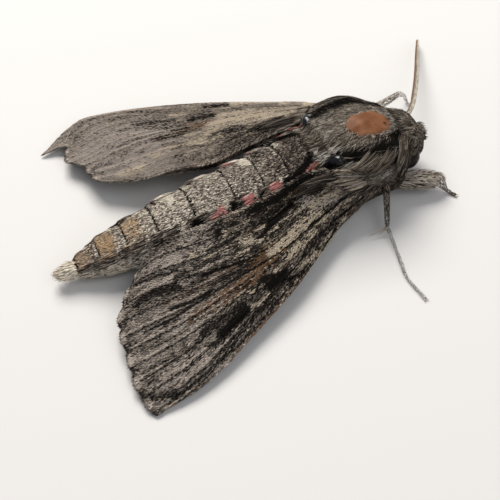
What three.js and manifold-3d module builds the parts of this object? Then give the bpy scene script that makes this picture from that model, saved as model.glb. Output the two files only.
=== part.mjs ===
// A resting hawk moth, Agrius convolvuli, at life size: head, eyes, palps, antennae, thorax,
// ringed abdomen, two pairs of wings swept back like a low roof, and six legs in three pieces
// each. Millimetres, +X towards the head, +Y to the animal's left, +Z up. The feet, the belly
// and the wing tips stand on the floor at z = 0. Every piece is one closed faceted solid.
import * as THREE from "three";
import { mergeVertices } from "three/addons/utils/BufferGeometryUtils.js";
import Module from "manifold-3d";

const wasm = await Module();
wasm.setup();

// ---- Driving dimensions ------------------------------------------------------------------
const CUT = 0.12; // width of the thin cuts that part one piece of the body from the next
const WING_HALF_THICKNESS = 0.27;
const HINDWING_DROP = 0.95; // how far the hindwing's middle lies under the forewing's
const BODY_SIDES = 22;
const LIMB_SIDES = 8;

// The body as stations along X: how far its middle line bows to the left, the half width,
// the height of its back and the height of its belly.
const BODY = {
  x: [-23.4, -22.6, -20.0, -16.6, -12.5, -7.8, -2.0, 4.8, 8.6, 11.0, 14.0, 17.0, 19.0, 20.6, 22.4, 23.8, 24.7],
  bow: [0.1, 0.1, 0.1, 0.1, 0.1, 0.2, 0.3, 0.8, 1.4, 1.5, 1.2, 1.05, 0.9, 0.7, 0.5, 0.4, 0.4],
  halfWidth: [1.2, 1.65, 2.6, 3.3, 3.9, 4.35, 4.7, 4.95, 5.3, 6.2, 7.05, 6.9, 5.6, 4.1, 3.7, 2.7, 1.5],
  back: [2.9, 3.3, 4.6, 5.7, 6.7, 7.5, 8.2, 8.8, 9.3, 10.1, 10.8, 10.7, 9.9, 8.7, 7.9, 7.0, 6.1],
  belly: [0.8, 0.3, -0.12, -0.12, -0.12, 0.2, 0.6, 0.9, 1.0, 0.9, 0.9, 1.0, 1.3, 1.9, 2.2, 2.6, 3.3],
};
const WAIST_X = 9.0; // thorax meets abdomen
const NECK_X = 20.4; // head meets thorax
const HEAD_FRONT_X = 24.7;
const ABDOMEN_RINGS = [WAIST_X, 4.4, 1.0, -2.9, -8.1, -12.8, -16.6, -20.0, -22.8]; // the ring edges
const RING_FLARE = 0.16; // each ring is this much fuller at its rear edge than at its front one
const MIDDLE_SHARE = 0.47; // how far up from the belly the body is widest
const TAIL_TUFT_Z = 1.75;
const FLOOR_Z = 0;
const MERGE = 1e-4; // vertices nearer than this are one

// ---- Shared helpers ----------------------------------------------------------------------
const lerp = THREE.MathUtils.lerp;
const v3 = (x, y, z) => new THREE.Vector3(x, y, z);

/** The value at x of a smooth line through (xs, ys), with flat ends. */
function profile(xs, ys, x) {
  const last = xs.length - 1;
  if (x <= xs[0]) return ys[0];
  if (x >= xs[last]) return ys[last];
  const i = xs.findIndex((_, k) => x <= xs[k + 1]);
  const slope = (k) => {
    const a = Math.max(0, k - 1);
    const b = Math.min(last, k + 1);
    return (ys[b] - ys[a]) / (xs[b] - xs[a]);
  };
  const h = xs[i + 1] - xs[i];
  const t = (x - xs[i]) / h;
  const rise = (1 - t) ** 2;
  return (
    ys[i] * (1 + 2 * t) * rise +
    slope(i) * h * t * rise +
    ys[i + 1] * t * t * (3 - 2 * t) +
    slope(i + 1) * h * t * t * (t - 1)
  );
}

const bowAt = (x) => profile(BODY.x, BODY.bow, x);
const halfWidthAt = (x) => profile(BODY.x, BODY.halfWidth, x);
const backAt = (x) => profile(BODY.x, BODY.back, x);
const bellyAt = (x) => profile(BODY.x, BODY.belly, x);
const middleAt = (x) => lerp(bellyAt(x), backAt(x), MIDDLE_SHARE);

/** A closed tube of rings: a sphere's rows become a start point, the rings and an end point. */
function tube(rings, sides, ringPoint, startPoint, endPoint) {
  const sphere = new THREE.SphereGeometry(1, sides, rings + 1);
  const uv = sphere.getAttribute("uv");
  const position = sphere.getAttribute("position");
  for (let i = 0; i < position.count; i++) {
    const row = Math.round((1 - uv.getY(i)) * (rings + 1));
    const column = Math.round(i - row * (sides + 1)) % sides;
    const angle = (column / sides) * 2 * Math.PI;
    const p =
      row === 0 ? startPoint : row === rings + 1 ? endPoint : ringPoint(row - 1, -Math.cos(angle), Math.sin(angle));
    position.setXYZ(i, p.x, p.y, Math.max(p.z, FLOOR_Z));
  }
  return cleaned(sphere);
}

/** Keeps only the places of a geometry, with shared vertices merged. */
function cleaned(geometry) {
  const bare = geometry.clone();
  bare.deleteAttribute("normal");
  bare.deleteAttribute("uv");
  return mergeVertices(bare, MERGE);
}

/** A three.js geometry as a solid that can be cut. */
function solid(geometry) {
  return new wasm.Manifold(
    new wasm.Mesh({
      numProp: 3,
      vertProperties: new Float32Array(geometry.getAttribute("position").array),
      triVerts: new Uint32Array(geometry.index.array),
    }),
  );
}

/** A cut solid back as a three.js geometry. */
function geometryOf(made) {
  const mesh = made.getMesh();
  const geometry = new THREE.BufferGeometry();
  geometry.setAttribute("position", new THREE.BufferAttribute(new Float32Array(mesh.vertProperties), 3));
  geometry.setIndex(new THREE.BufferAttribute(new Uint32Array(mesh.triVerts), 1));
  return geometry;
}

/** geometry with every other geometry in cutters taken away from it, largest body kept. */
function cutBy(geometry, cutters) {
  let made = solid(geometry);
  for (const cutter of cutters) made = made.subtract(solid(cutter));
  const bodies = made.decompose().sort((a, b) => b.volume() - a.volume());
  return geometryOf(bodies[0]);
}

const group = new THREE.Group();
group.name = "hawk_moth";

/** Adds one named piece with its own colour. */
function add(name, geometry, material) {
  geometry.computeVertexNormals();
  const mesh = new THREE.Mesh(
    geometry,
    new THREE.MeshStandardMaterial({ color: material.color, roughness: material.roughness, metalness: 0 }),
  );
  mesh.name = name;
  group.add(mesh);
  return geometry;
}

const FINISH = {
  coat: { color: 0x6b6259, roughness: 0.9 },
  ring: { color: 0x8a7c6b, roughness: 0.85 },
  tuft: { color: 0xcdbf9a, roughness: 0.9 },
  wing: { color: 0x6a5d50, roughness: 0.8 },
  hindwing: { color: 0x575049, roughness: 0.85 },
  eye: { color: 0x0c0b0c, roughness: 0.2 },
  leg: { color: 0x6e5a49, roughness: 0.8 },
  feeler: { color: 0x9a8c78, roughness: 0.7 },
};

// ---- Body --------------------------------------------------------------------------------

/** The body's outline at x: a point round it, grown by a small swell. */
function bodyPoint(x, across, upward, swell = 0) {
  const reach = upward > 0 ? backAt(x) - middleAt(x) : middleAt(x) - bellyAt(x);
  return v3(x, bowAt(x) + across * (halfWidthAt(x) + swell), middleAt(x) + upward * (reach + swell));
}

/** A length of the body from x = from down to x = to, with flat ends. */
function bodyLength(from, to, steps, swellAt = () => 0) {
  const xAt = (i) => lerp(to, from, i / steps);
  const end = (x) => v3(x, bowAt(x), middleAt(x));
  return tube(
    steps + 1,
    BODY_SIDES,
    (i, across, upward) => bodyPoint(xAt(i), across, upward, swellAt(1 - i / steps)),
    end(to),
    end(from),
  );
}

function buildBody() {
  const pieces = {};
  pieces.head = bodyLength(HEAD_FRONT_X, NECK_X + CUT, 6);
  pieces.thorax = bodyLength(NECK_X, WAIST_X + CUT, 9);
  for (let i = 1; i < ABDOMEN_RINGS.length; i++) {
    const swell = (t) => RING_FLARE * (t - 0.4);
    pieces["abdomen_" + i] = bodyLength(ABDOMEN_RINGS[i - 1], ABDOMEN_RINGS[i] + CUT, 4, swell);
  }
  return pieces;
}

// The pale brush of scales that ends the abdomen: a flattened cone with a round end.
function buildTailTuft() {
  const front = ABDOMEN_RINGS[ABDOMEN_RINGS.length - 1] - 0.05;
  const rear = -25.4;
  const shares = [1, 0.86, 0.6, 0.28, 0.06];
  const width = [1.55, 1.62, 1.5, 1.15, 0.5];
  const height = [1.25, 1.2, 1.0, 0.7, 0.3];
  return tube(
    shares.length,
    14,
    (i, across, upward) => {
      const k = shares.length - 1 - i;
      const x = lerp(rear, front, shares[k]);
      return v3(x, bowAt(x) + across * width[k], TAIL_TUFT_Z + upward * height[k]);
    },
    v3(rear, bowAt(rear), TAIL_TUFT_Z),
    v3(front, bowAt(front), TAIL_TUFT_Z),
  );
}

// ---- Head furniture ----------------------------------------------------------------------
const EYE = { x: 20.95, out: 3.2, z: 4.4, radii: [1.65, 1.5, 1.6], turn: 0.22 };

function eye(side) {
  const sphere = new THREE.SphereGeometry(1, 14, 8);
  sphere.scale(...EYE.radii);
  sphere.rotateZ(-side * EYE.turn);
  sphere.translate(EYE.x, bowAt(EYE.x) + side * EYE.out, EYE.z);
  return cleaned(sphere);
}

/** A tube along points with a radius at each, its ends flat. */
function limb(points, radii, sides = LIMB_SIDES) {
  const tangent = (i) =>
    points[Math.min(points.length - 1, i + 1)].clone().sub(points[Math.max(0, i - 1)]).normalize();
  const ring = (i, across, upward) => {
    const along = tangent(i);
    const side = v3(0, 0, 1).cross(along).normalize();
    const up = along.clone().cross(side);
    return points[i]
      .clone()
      .addScaledVector(side, across * radii[i])
      .addScaledVector(up, upward * radii[i]);
  };
  return tube(points.length, sides, ring, points[0], points[points.length - 1]);
}

/** A limb along a smooth curve through a few points, its radius given as a function of 0 to 1. */
function curvedLimb(points, steps, radiusAt, sides = LIMB_SIDES) {
  const curve = new THREE.CatmullRomCurve3(points, false, "centripetal");
  const places = curve.getPoints(steps);
  return limb(places, places.map((_, i) => radiusAt(i / steps)), sides);
}

function palp(side) {
  const y = bowAt(24);
  return curvedLimb(
    [v3(22.0, y + side * 1.0, 2.0), v3(23.2, y + side * 1.05, 1.9), v3(24.05, y + side * 0.95, 2.9), v3(24.4, y + side * 0.8, 4.0)],
    6,
    (t) => 0.25 + 0.7 * Math.sin(Math.PI * (0.18 + 0.74 * t)),
    10,
  );
}

// The feelers thicken to the middle and end in a fine point. The left one is held out to the
// side and forward, the right one is laid back along the shoulder, under the wing's edge.
const FEELER_LEFT = [
  v3(23.2, 2.1, 6.8),
  v3(24.6, 3.2, 6.6),
  v3(27.3, 6.6, 5.4),
  v3(30.4, 10.9, 4.0),
  v3(33.6, 15.7, 2.4),
  v3(36.4, 19.9, 1.0),
];
const FEELER_RIGHT = [
  v3(22.6, -1.3, 6.6),
  v3(21.2, -2.9, 6.6),
  v3(19.5, -4.7, 5.2),
  v3(18.2, -5.5, 3.5),
  v3(15.0, -5.0, 2.2),
  v3(10.6, -6.1, 2.0),
  v3(7.1, -8.75, 1.75),
  v3(4.0, -10.6, 1.6),
  v3(0.6, -12.7, 1.4),
];
const feelerRadius = (t) => 0.27 + 0.11 * Math.sin(Math.PI * Math.min(1, 0.15 + t)) - 0.01 * t;

// ---- Wings -------------------------------------------------------------------------------
// Each forewing is a patch between four edges: front edge, rear edge, root and outer margin.
const RIGHT_WING = {
  side: -1,
  front: [
    [17.6, -4.4, 4.3],
    [13.4, -5.9, 3.4],
    [7.7, -8.4, 2.7],
    [0.2, -13.3, 2.1],
    [-6.4, -16.7, 1.6],
    [-14.5, -20.4, 0.9],
    [-20.9, -21.5, 0.3],
  ],
  rear: [
    [13.6, -4.6, 7.2],
    [9.6, -3.7, 8.2],
    [6.0, -3.0, 8.2],
    [0.9, -3.7, 7.4],
    [-6.3, -3.8, 6.5],
    [-12.7, -3.4, 5.4],
    [-15.5, -4.1, 3.7],
  ],
  margin: [
    [-20.9, -21.5, 0.3],
    [-21.6, -18.2, 1.0],
    [-21.2, -14.0, 1.5],
    [-20.6, -9.6, 2.1],
    [-18.4, -6.4, 2.8],
    [-15.5, -4.1, 3.7],
  ],
};
const LEFT_WING = {
  side: 1,
  front: [
    [17.6, 6.0, 4.8],
    [13.9, 10.2, 4.9],
    [6.0, 16.1, 3.6],
    [-3.8, 21.1, 2.5],
    [-11.5, 23.9, 1.6],
    [-14.6, 24.4, 1.2],
    [-20.7, 21.4, 0.3],
  ],
  rear: [
    [13.6, 6.0, 7.0],
    [8.2, 6.0, 7.2],
    [1.0, 5.6, 6.7],
    [-2.6, 5.6, 6.0],
    [-7.2, 7.8, 4.6],
    [-11.4, 8.9, 3.5],
    [-15.6, 11.0, 2.8],
  ],
  margin: [
    [-20.7, 21.4, 0.3],
    [-17.4, 20.6, 1.2],
    [-18.2, 17.4, 1.8],
    [-16.6, 15.4, 2.2],
    [-16.2, 12.8, 2.6],
    [-15.6, 11.0, 2.8],
  ],
};
const SCALLOPS = 7;
const SCALLOP_DEPTH = 0.35;
const CAMBER = 0.7;

function edge(points) {
  return new THREE.CatmullRomCurve3(points.map((p) => v3(...p)), false, "centripetal");
}

/** The middle surface of a wing as a function of u, root to margin, and v, front to rear. */
function wingSurface(wing) {
  const front = edge(wing.front);
  const rear = edge(wing.rear);
  const margin = edge(wing.margin);
  const [f0, f1, r0, r1] = [front, rear].flatMap((curve) => [curve.getPoint(0), curve.getPoint(1)]);
  return (u, v) => {
    const across = front.getPointAt(u).lerp(rear.getPointAt(u), v);
    const outward = f0.clone().lerp(r0, v).lerp(margin.getPointAt(v), u);
    const blend = f0.clone().lerp(r0, v).lerp(f1.clone().lerp(r1, v), u);
    const p = across.add(outward).sub(blend);
    const scallop = SCALLOP_DEPTH * (Math.abs(Math.sin(Math.PI * SCALLOPS * v)) - 0.5) * u ** 6;
    p.x -= scallop;
    p.z += CAMBER * Math.sin(Math.PI * v) * Math.sin(Math.PI * Math.min(1, u * 1.1));
    return p;
  };
}

/** A thin sheet of constant thickness over a surface: a flat box bent to it. */
function sheet(surface, uSteps, vSteps, side, halfThickness = WING_HALF_THICKNESS) {
  const box = new THREE.BoxGeometry(1, 1, 1, uSteps, 1, vSteps);
  const position = box.getAttribute("position");
  for (let i = 0; i < position.count; i++) {
    const u = position.getX(i) + 0.5;
    const v = side < 0 ? position.getZ(i) + 0.5 : 0.5 - position.getZ(i);
    const p = surface(u, v);
    const lift = Math.sign(position.getY(i)) * halfThickness;
    position.setXYZ(i, p.x, p.y, Math.max(p.z, halfThickness) + lift);
  }
  return cleaned(box);
}

/** The hindwing lies under the forewing's rear half and stops short of its outer margin. */
function hindwingSurface(forewing) {
  return (u, v) => {
    const reach = lerp(0.6, 0.74, v) - 0.05 * Math.sin(Math.PI * v);
    const p = forewing(lerp(0.06, reach, u), lerp(0.42, 1.0, v));
    p.z -= HINDWING_DROP;
    return p;
  };
}

// ---- Legs --------------------------------------------------------------------------------
// Each leg as six places, hip, knee, ankle and three along the foot, with its radius at each.
const LEGS = {
  foreleg_right: {
    path: [[17.6, -1.6, 1.5], [19.1, -4.2, 2.6], [24.1, -5.7, 1.75], [24.9, -6.8, 0.5], [25.3, -7.35, 0.26], [25.7, -7.9, 0.26]],
    radii: [0.8, 1.25, 1.05, 0.36, 0.3, 0.26],
  },
  foreleg_left: {
    path: [[17.8, 2.6, 1.5], [21.0, 7.7, 3.2], [27.2, 9.8, 2.45], [28.4, 10.15, 1.3], [28.75, 9.9, 0.26], [28.8, 8.8, 0.26]],
    radii: [0.8, 0.7, 0.5, 0.32, 0.28, 0.26],
  },
  midleg_right: {
    path: [[15.4, -2.6, 1.2], [16.7, -4.9, 3.3], [14.45, -9.5, 1.25], [14.0, -12.6, 0.5], [13.15, -16.8, 0.28], [13.6, -20.4, 0.26]],
    radii: [0.75, 0.5, 0.38, 0.32, 0.28, 0.26],
  },
  midleg_left: {
    path: [[15.6, 4.4, 1.1], [15.0, 8.4, 3.0], [11.6, 11.6, 1.2], [9.4, 12.8, 0.45], [5.6, 13.6, 0.28], [2.2, 14.6, 0.26]],
    radii: [0.75, 0.5, 0.38, 0.32, 0.28, 0.26],
  },
  hindleg_right: {
    path: [[12.4, -2.6, 1.0], [9.4, -6.2, 2.3], [2.6, -8.8, 0.8], [-0.6, -10.0, 0.4], [-4.0, -11.4, 0.28], [-7.0, -13.2, 0.26]],
    radii: [0.75, 0.65, 0.45, 0.36, 0.3, 0.26],
  },
  hindleg_left: {
    path: [[12.4, 5.2, 1.0], [9.0, 8.6, 2.3], [2.4, 11.4, 0.8], [-0.8, 12.6, 0.4], [-4.6, 13.6, 0.28], [-7.8, 15.0, 0.26]],
    radii: [0.75, 0.65, 0.45, 0.36, 0.3, 0.26],
  },
};

/** The three pieces of one leg, with a thin cut at knee and ankle. */
function legPieces(leg) {
  const [hip, knee, ankle, ...toes] = leg.path.map((p) => v3(...p));
  const [hipR, kneeR, ankleR, ...toeRadii] = leg.radii;
  const between = (a, b, t) => a.clone().lerp(b, t);
  const straight = (a, b, ra, rb, swell) => {
    const shares = [0, 0.12, 0.5, 0.88, 1];
    const places = shares.map((t) => between(a, b, t));
    const radii = shares.map((t) => lerp(ra, rb, t) * (1 + swell * Math.sin(Math.PI * t)) * (t === 0 || t === 1 ? 0.62 : 1));
    return limb(places, radii);
  };
  return {
    femur: straight(hip, knee, hipR, kneeR, 0.1),
    tibia: straight(between(knee, ankle, 0.06), ankle, kneeR, ankleR, 0.12),
    tarsus: limb(
      [between(ankle, toes[0], 0.04), between(ankle, toes[0], 0.5), ...toes],
      [ankleR * 0.75, toeRadii[0], ...toeRadii],
    ),
  };
}

// ---- Assembly ----------------------------------------------------------------------------
const body = buildBody();
const bodyNames = Object.keys(body);
const eyes = { eye_left: eye(1), eye_right: eye(-1) };
for (const name of ["head", "thorax"]) body[name] = cutBy(body[name], Object.values(eyes));
for (const name of bodyNames) add(name, body[name], name.startsWith("abdomen") ? FINISH.ring : FINISH.coat);
for (const [name, geometry] of Object.entries(eyes)) add(name, geometry, FINISH.eye);
add("tail_tuft", buildTailTuft(), FINISH.tuft);

const trunk = [...bodyNames.map((name) => body[name]), ...Object.values(eyes)];
for (const [name, side] of [["palp_left", 1], ["palp_right", -1]]) add(name, cutBy(palp(side), [body.head]), FINISH.coat);
const feelers = {
  antenna_left: cutBy(curvedLimb(FEELER_LEFT, 16, feelerRadius), trunk),
  antenna_right: cutBy(curvedLimb(FEELER_RIGHT, 18, feelerRadius), trunk),
};
for (const [name, geometry] of Object.entries(feelers)) add(name, geometry, FINISH.feeler);

const wings = {};
for (const [name, wing] of [["right", RIGHT_WING], ["left", LEFT_WING]]) {
  const surface = wingSurface(wing);
  wings["forewing_" + name] = cutBy(sheet(surface, 20, 10, wing.side), trunk);
  wings["hindwing_" + name] = cutBy(sheet(hindwingSurface(surface), 10, 6, wing.side), [...trunk, wings["forewing_" + name]]);
}
for (const [name, geometry] of Object.entries(wings))
  add(name, geometry, name.startsWith("hind") ? FINISH.hindwing : FINISH.wing);

const taken = [...trunk, ...Object.values(feelers), ...Object.values(wings)];
for (const [name, leg] of Object.entries(LEGS)) {
  const { femur, tibia, tarsus } = legPieces(leg);
  const upper = cutBy(femur, taken);
  const shin = cutBy(tibia, [...taken, upper]);
  add(name + "_femur", upper, FINISH.leg);
  add(name + "_tibia", shin, FINISH.leg);
  add(name + "_tarsus", cutBy(tarsus, [...taken, shin]), FINISH.leg);
}

// The origin is the middle of the bounding box, on the floor.
const bounds = new THREE.Box3().setFromObject(group);
const centre = bounds.getCenter(new THREE.Vector3());
group.position.set(-centre.x, -centre.y, -bounds.min.z);

export default group;
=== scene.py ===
"""A resting hawk moth at life size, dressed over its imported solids.

The moth's own axes are in millimetres: +X towards the head, +Y to its left, +Z up, the floor at
z = 0. Skins are smooth grids bent to the body, limbs and wings. The coat over them is solid mesh:
thin blades rooted on the skin, which carry the markings of the place that they grow from.
"""

import logging
import math
from dataclasses import dataclass, field
from enum import Enum
from functools import lru_cache
from typing import Callable

import bmesh
import bpy
import numpy as np
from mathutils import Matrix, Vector


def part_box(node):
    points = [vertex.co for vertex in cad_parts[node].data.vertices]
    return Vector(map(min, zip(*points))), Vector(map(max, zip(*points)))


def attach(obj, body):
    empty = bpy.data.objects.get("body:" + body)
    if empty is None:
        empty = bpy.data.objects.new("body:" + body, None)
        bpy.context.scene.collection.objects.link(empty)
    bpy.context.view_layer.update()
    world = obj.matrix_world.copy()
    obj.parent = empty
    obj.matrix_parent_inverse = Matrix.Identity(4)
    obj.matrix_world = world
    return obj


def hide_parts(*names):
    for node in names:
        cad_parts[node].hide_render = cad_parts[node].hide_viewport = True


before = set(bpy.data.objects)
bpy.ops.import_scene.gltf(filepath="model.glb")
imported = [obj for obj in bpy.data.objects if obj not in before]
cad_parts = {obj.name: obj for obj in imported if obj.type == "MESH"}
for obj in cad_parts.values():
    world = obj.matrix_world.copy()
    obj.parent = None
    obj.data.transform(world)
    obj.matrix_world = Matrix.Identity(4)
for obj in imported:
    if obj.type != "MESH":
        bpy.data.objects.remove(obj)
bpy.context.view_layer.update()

LOG = logging.getLogger("hawk_moth")
MM = 0.001
Array = np.ndarray
Place = Callable[[Array, Array], Array]
BLADE_RIDGE = 0.55  # a blade's ridge over its half width
BLADE_UNWRAP = 0.0015  # half the side of a blade's place on the unwrap
BODY_RADIUS = 5.5  # the body's usual half thickness, in millimetres
OVER_FLOOR = 0.02  # the least height of any point over the floor, in millimetres
WING_LENGTH, WING_PATTERN, WING_DEPTH = 39.0, 17.0, 15.0  # a forewing along, and across at two places
FLAT_STEPS = (0.006, 0.012)  # steps along and across a wing for measuring its directions


# ---- Lines, noise and small helpers --------------------------------------------------------


@dataclass(frozen=True)
class Line:
    """A smooth line through a few points, flat past its ends."""

    xs: tuple[float, ...]
    ys: tuple[float, ...]

    def at(self, x: Array) -> Array:
        """Give the line's height at x.

        Args:
            x: Places along the line.

        Returns:
            The heights there.
        """
        xs, ys = np.array(self.xs), np.array(self.ys)
        last = len(xs) - 1
        x = np.clip(x, xs[0], xs[-1])
        i = np.clip(np.searchsorted(xs, x, side="left") - 1, 0, last - 1)

        def slope(k: Array) -> Array:
            """Give the slope at point k, from its neighbours."""
            a, b = np.maximum(0, k - 1), np.minimum(last, k + 1)
            return (ys[b] - ys[a]) / (xs[b] - xs[a])

        h = xs[i + 1] - xs[i]
        t = (x - xs[i]) / h
        rise = (1 - t) ** 2
        start = ys[i] * (1 + 2 * t) * rise + slope(i) * h * t * rise
        return start + ys[i + 1] * t * t * (3 - 2 * t) + slope(i + 1) * h * t * t * (t - 1)


@dataclass(frozen=True)
class Mottle:
    """Smooth seeded noise over a plane, between -1 and 1."""

    seed: int

    def at(self, x: Array, y: Array) -> Array:
        """Give the noise at (x, y), with features about one unit across."""
        xi, yi = np.floor(x).astype(np.int64), np.floor(y).astype(np.int64)
        fx, fy = x - xi, y - yi
        fx, fy = fx * fx * (3 - 2 * fx), fy * fy * (3 - 2 * fy)

        def corner(i: Array, j: Array) -> Array:
            """Give the fixed random value of one lattice corner."""
            h = (i * 374761393 + j * 668265263 + self.seed * 1442695041) & 0xFFFFFFFF
            h = ((h ^ (h >> 13)) * 1274126177) & 0xFFFFFFFF
            return ((h ^ (h >> 16)) & 0xFFFF) / 32767.5 - 1.0

        low = corner(xi, yi) * (1 - fx) + corner(xi + 1, yi) * fx
        high = corner(xi, yi + 1) * (1 - fx) + corner(xi + 1, yi + 1) * fx
        return low * (1 - fy) + high * fy

    def rough(self, x: Array, y: Array) -> Array:
        """Give three layers of the noise, each finer and weaker."""
        coarse = 0.57 * self.at(x, y) + 0.29 * self.at(2.1 * x + 7, 2.1 * y)
        return coarse + 0.14 * self.at(4.3 * x, 4.3 * y + 3)


def smooth(low: float, high: float, x: Array) -> Array:
    """Rise smoothly from 0 at low to 1 at high."""
    t = np.clip((x - low) / (high - low), 0.0, 1.0)
    return t * t * (3 - 2 * t)


def bell(x: Array, width: float) -> Array:
    """Give a soft hump of height 1 about x = 0."""
    return np.exp(-((x / width) ** 2))


def rounded(share: Array) -> Array:
    """Round an end off: rise from 0 to 1 like a quarter circle."""
    share = np.clip(share, 0.0, 1.0)
    return np.sqrt(share * (2 - share))


def turned(share: Array) -> Array:
    """Turn shares of a full turn, from 0 to 1, into angles from -pi to pi."""
    return (2 * share - 1) * math.pi


def even(like: Array, *columns: float | Array) -> Array:
    """Stack numbers or arrays as columns over the shape of an array."""
    return np.stack([np.broadcast_to(np.asarray(c, float), like.shape) for c in columns], -1)


def unit(v: Array) -> Array:
    """Scale vectors to length 1."""
    return v / np.maximum(np.linalg.norm(v, axis=-1, keepdims=True), 1e-9)


def normals_of(place: Place, a: Array, b: Array, da: float, db: float) -> tuple[Array, Array, Array]:
    """Measure a surface's directions by small steps.

    Args:
        place: The surface.
        a: First coordinate.
        b: Second coordinate.
        da: Step along the first.
        db: Step along the second.

    Returns:
        Unit vectors along a, along b, and their cross product.
    """
    along = unit(place(a + da, b) - place(a - da, b))
    across = unit(place(a, b + db) - place(a, b - db))
    return along, across, unit(np.cross(along, across))


# ---- The moth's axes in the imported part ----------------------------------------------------


@dataclass(frozen=True)
class EyeForm:
    """Both eyes: middle, distance from the middle line, and half sizes, in millimetres."""

    x: float = 20.95
    out: float = 3.2
    z: float = 4.4
    radii: tuple[float, float, float] = (1.65, 1.5, 1.6)
    turn: float = 0.22


@dataclass(frozen=True)
class BodyForm:
    """The outline of head, thorax and abdomen as stations along X, out to the coat's tips."""

    xs: tuple[float, ...] = (
        -23.4, -22.6, -20.0, -16.6, -12.5, -7.8, -2.0, 4.8, 8.6,
        11.0, 14.0, 17.0, 19.0, 20.6, 22.4, 23.8, 24.7,
    )
    bow: tuple[float, ...] = (
        0.1, 0.1, 0.1, 0.1, 0.1, 0.2, 0.3, 0.8, 1.4, 1.5, 1.2, 1.05, 0.9, 0.7, 0.5, 0.4, 0.4
    )
    half_width: tuple[float, ...] = (
        1.2, 1.65, 2.6, 3.3, 3.9, 4.35, 4.7, 4.95, 5.3, 6.2, 7.05, 6.9, 5.6, 4.1, 3.7, 2.7, 1.5
    )
    back: tuple[float, ...] = (
        2.9, 3.3, 4.6, 5.7, 6.7, 7.5, 8.2, 8.8, 9.3, 10.1, 10.8, 10.7, 9.9, 8.7, 7.9, 7.0, 6.1
    )
    belly: tuple[float, ...] = (
        0.8, 0.3, -0.12, -0.12, -0.12, 0.2, 0.6, 0.9, 1.0, 0.9, 0.9, 1.0, 1.3, 1.9, 2.2, 2.6, 3.3
    )
    rings: tuple[float, ...] = (9.0, 4.4, 1.0, -2.9, -8.1, -12.8, -16.6, -20.0, -22.8)
    tail: float = -24.1
    front: float = 24.55
    tail_round: float = 1.7
    front_round: float = 1.4
    ring_step: float = 0.2
    middle_share: float = 0.47

    def line(self, ys: tuple[float, ...], x: Array) -> Array:
        """Give one of the outline's lines at x."""
        return Line(self.xs, ys).at(x)

    def ring_share(self, x: Array) -> tuple[Array, Array]:
        """Find the ring at x.

        Args:
            x: Places along the body.

        Returns:
            The ring's number, 0 at the waist, and the share of it passed from front to rear.
        """
        edges = np.array(self.rings)
        number = np.clip(np.searchsorted(-edges, -x, side="right") - 1, 0, len(edges) - 2)
        share = (edges[number] - x) / (edges[number] - edges[number + 1])
        return number, np.clip(share, 0.0, 1.0)

    def coat_depth(self, x: Array) -> Array:
        """Give how deep the skin lies under the coat's tips."""
        depth = 0.26 + 0.3 * smooth(7.5, 10.0, x) - 0.22 * smooth(19.0, 21.5, x)
        return depth + 0.1 * smooth(-22.0, -23.5, x)

    def relief(self, x: Array, angle: Array) -> Array:
        """Give the skin's own forms: rings, waist, tegulae, collar, neck and wing-hinge domes."""
        _, share = self.ring_share(x)
        on_rings = smooth(9.0, 8.6, x) * smooth(-23.2, -22.8, x)
        step = np.where(share > 0.93, (1 - share) / 0.07, share / 0.93)
        out = on_rings * self.ring_step * (step - 0.55)
        degrees = np.degrees(angle)
        side = np.abs(degrees - 3.0)
        shoulder = 1 - ((x - 14.4) / 5.6) ** 2 - ((side - 52.0) / 19.0) ** 2
        out += 0.38 * smooth(0.0, 0.55, shoulder)
        out += 0.22 * bell(x - 19.4, 0.7) * smooth(95.0, 60.0, side)
        out -= 0.3 * bell(x - 20.5, 0.45) * smooth(25.0, -10.0, degrees)
        out += 0.3 * bell(x - 20.6, 1.0) * bell(degrees - 52.0, 30.0)
        out -= 0.35 * bell(x - 9.1, 0.5)
        hinges = bell(x - 10.3, 0.8) * bell(degrees + 45.0, 9.5)
        hinges += bell(x - 10.0, 0.8) * bell(degrees - 43.0, 9.5)
        out += 0.75 * hinges
        crease = 0.09 * bell(degrees + 9.0 - 2.2 * (x - 15.0), 2.2)
        out += crease * smooth(13.6, 14.4, x) * smooth(17.6, 16.4, x)
        out -= 0.18 * bell(side, 5.0) * bell(x - 11.5, 2.0)
        out += 0.1 * bell(x - 22.6, 0.9) * bell(side - 24.0, 14.0)
        out += 0.35 * bell(x - 23.0, 1.0) * bell(degrees - 34.0, 20.0)
        return out

    def place(self, x: Array, angle: Array, lift: float | Array = 0.0) -> Array:
        """Give the skin's point at x and at an angle from the back, positive to the left.

        Args:
            x: Places along the body, in millimetres.
            angle: Angles round it, in radians.
            lift: Height over the skin, in millimetres.

        Returns:
            Points in millimetres.
        """
        outward = self.relief(x, angle) - self.coat_depth(x) + lift
        cap = rounded((x - self.tail) / self.tail_round) * rounded((self.front - x) / self.front_round)
        back, belly = self.line(self.back, x), self.line(self.belly, x)
        middle = belly + self.middle_share * (back - belly)
        across, upward = np.sin(angle), np.cos(angle)
        reach = np.where(upward > 0, back - middle, middle - belly)
        y = self.line(self.bow, x) + across * (self.line(self.half_width, x) + outward) * cap
        z = middle + upward * (reach + outward) * cap
        return np.stack([x, y, np.maximum(z, OVER_FLOOR)], -1)

    def unwrap(self, x: Array, angle: Array) -> Array:
        """Give the place on the skin's own unwrap: along the body, and round it from the belly."""
        u = 0.02 + 0.96 * (x - self.tail) / (self.front - self.tail)
        v = 0.02 + 0.6 * (angle / (2 * math.pi) + 0.5)
        return np.stack([u, v], -1)


def row_shift() -> Array:
    """Find where the moth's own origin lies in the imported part, in metres, from its two eyes."""
    form, body = EyeForm(), BodyForm()
    (la, lb), (ra, rb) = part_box("eye_left"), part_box("eye_right")
    middle = (Vector(la) + Vector(lb) + Vector(ra) + Vector(rb)) / 4
    bow = float(body.line(body.bow, np.array([form.x]))[0])
    return np.array([middle.x - form.x * MM, middle.y - bow * MM, 0.0])


SHIFT = row_shift()


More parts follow.
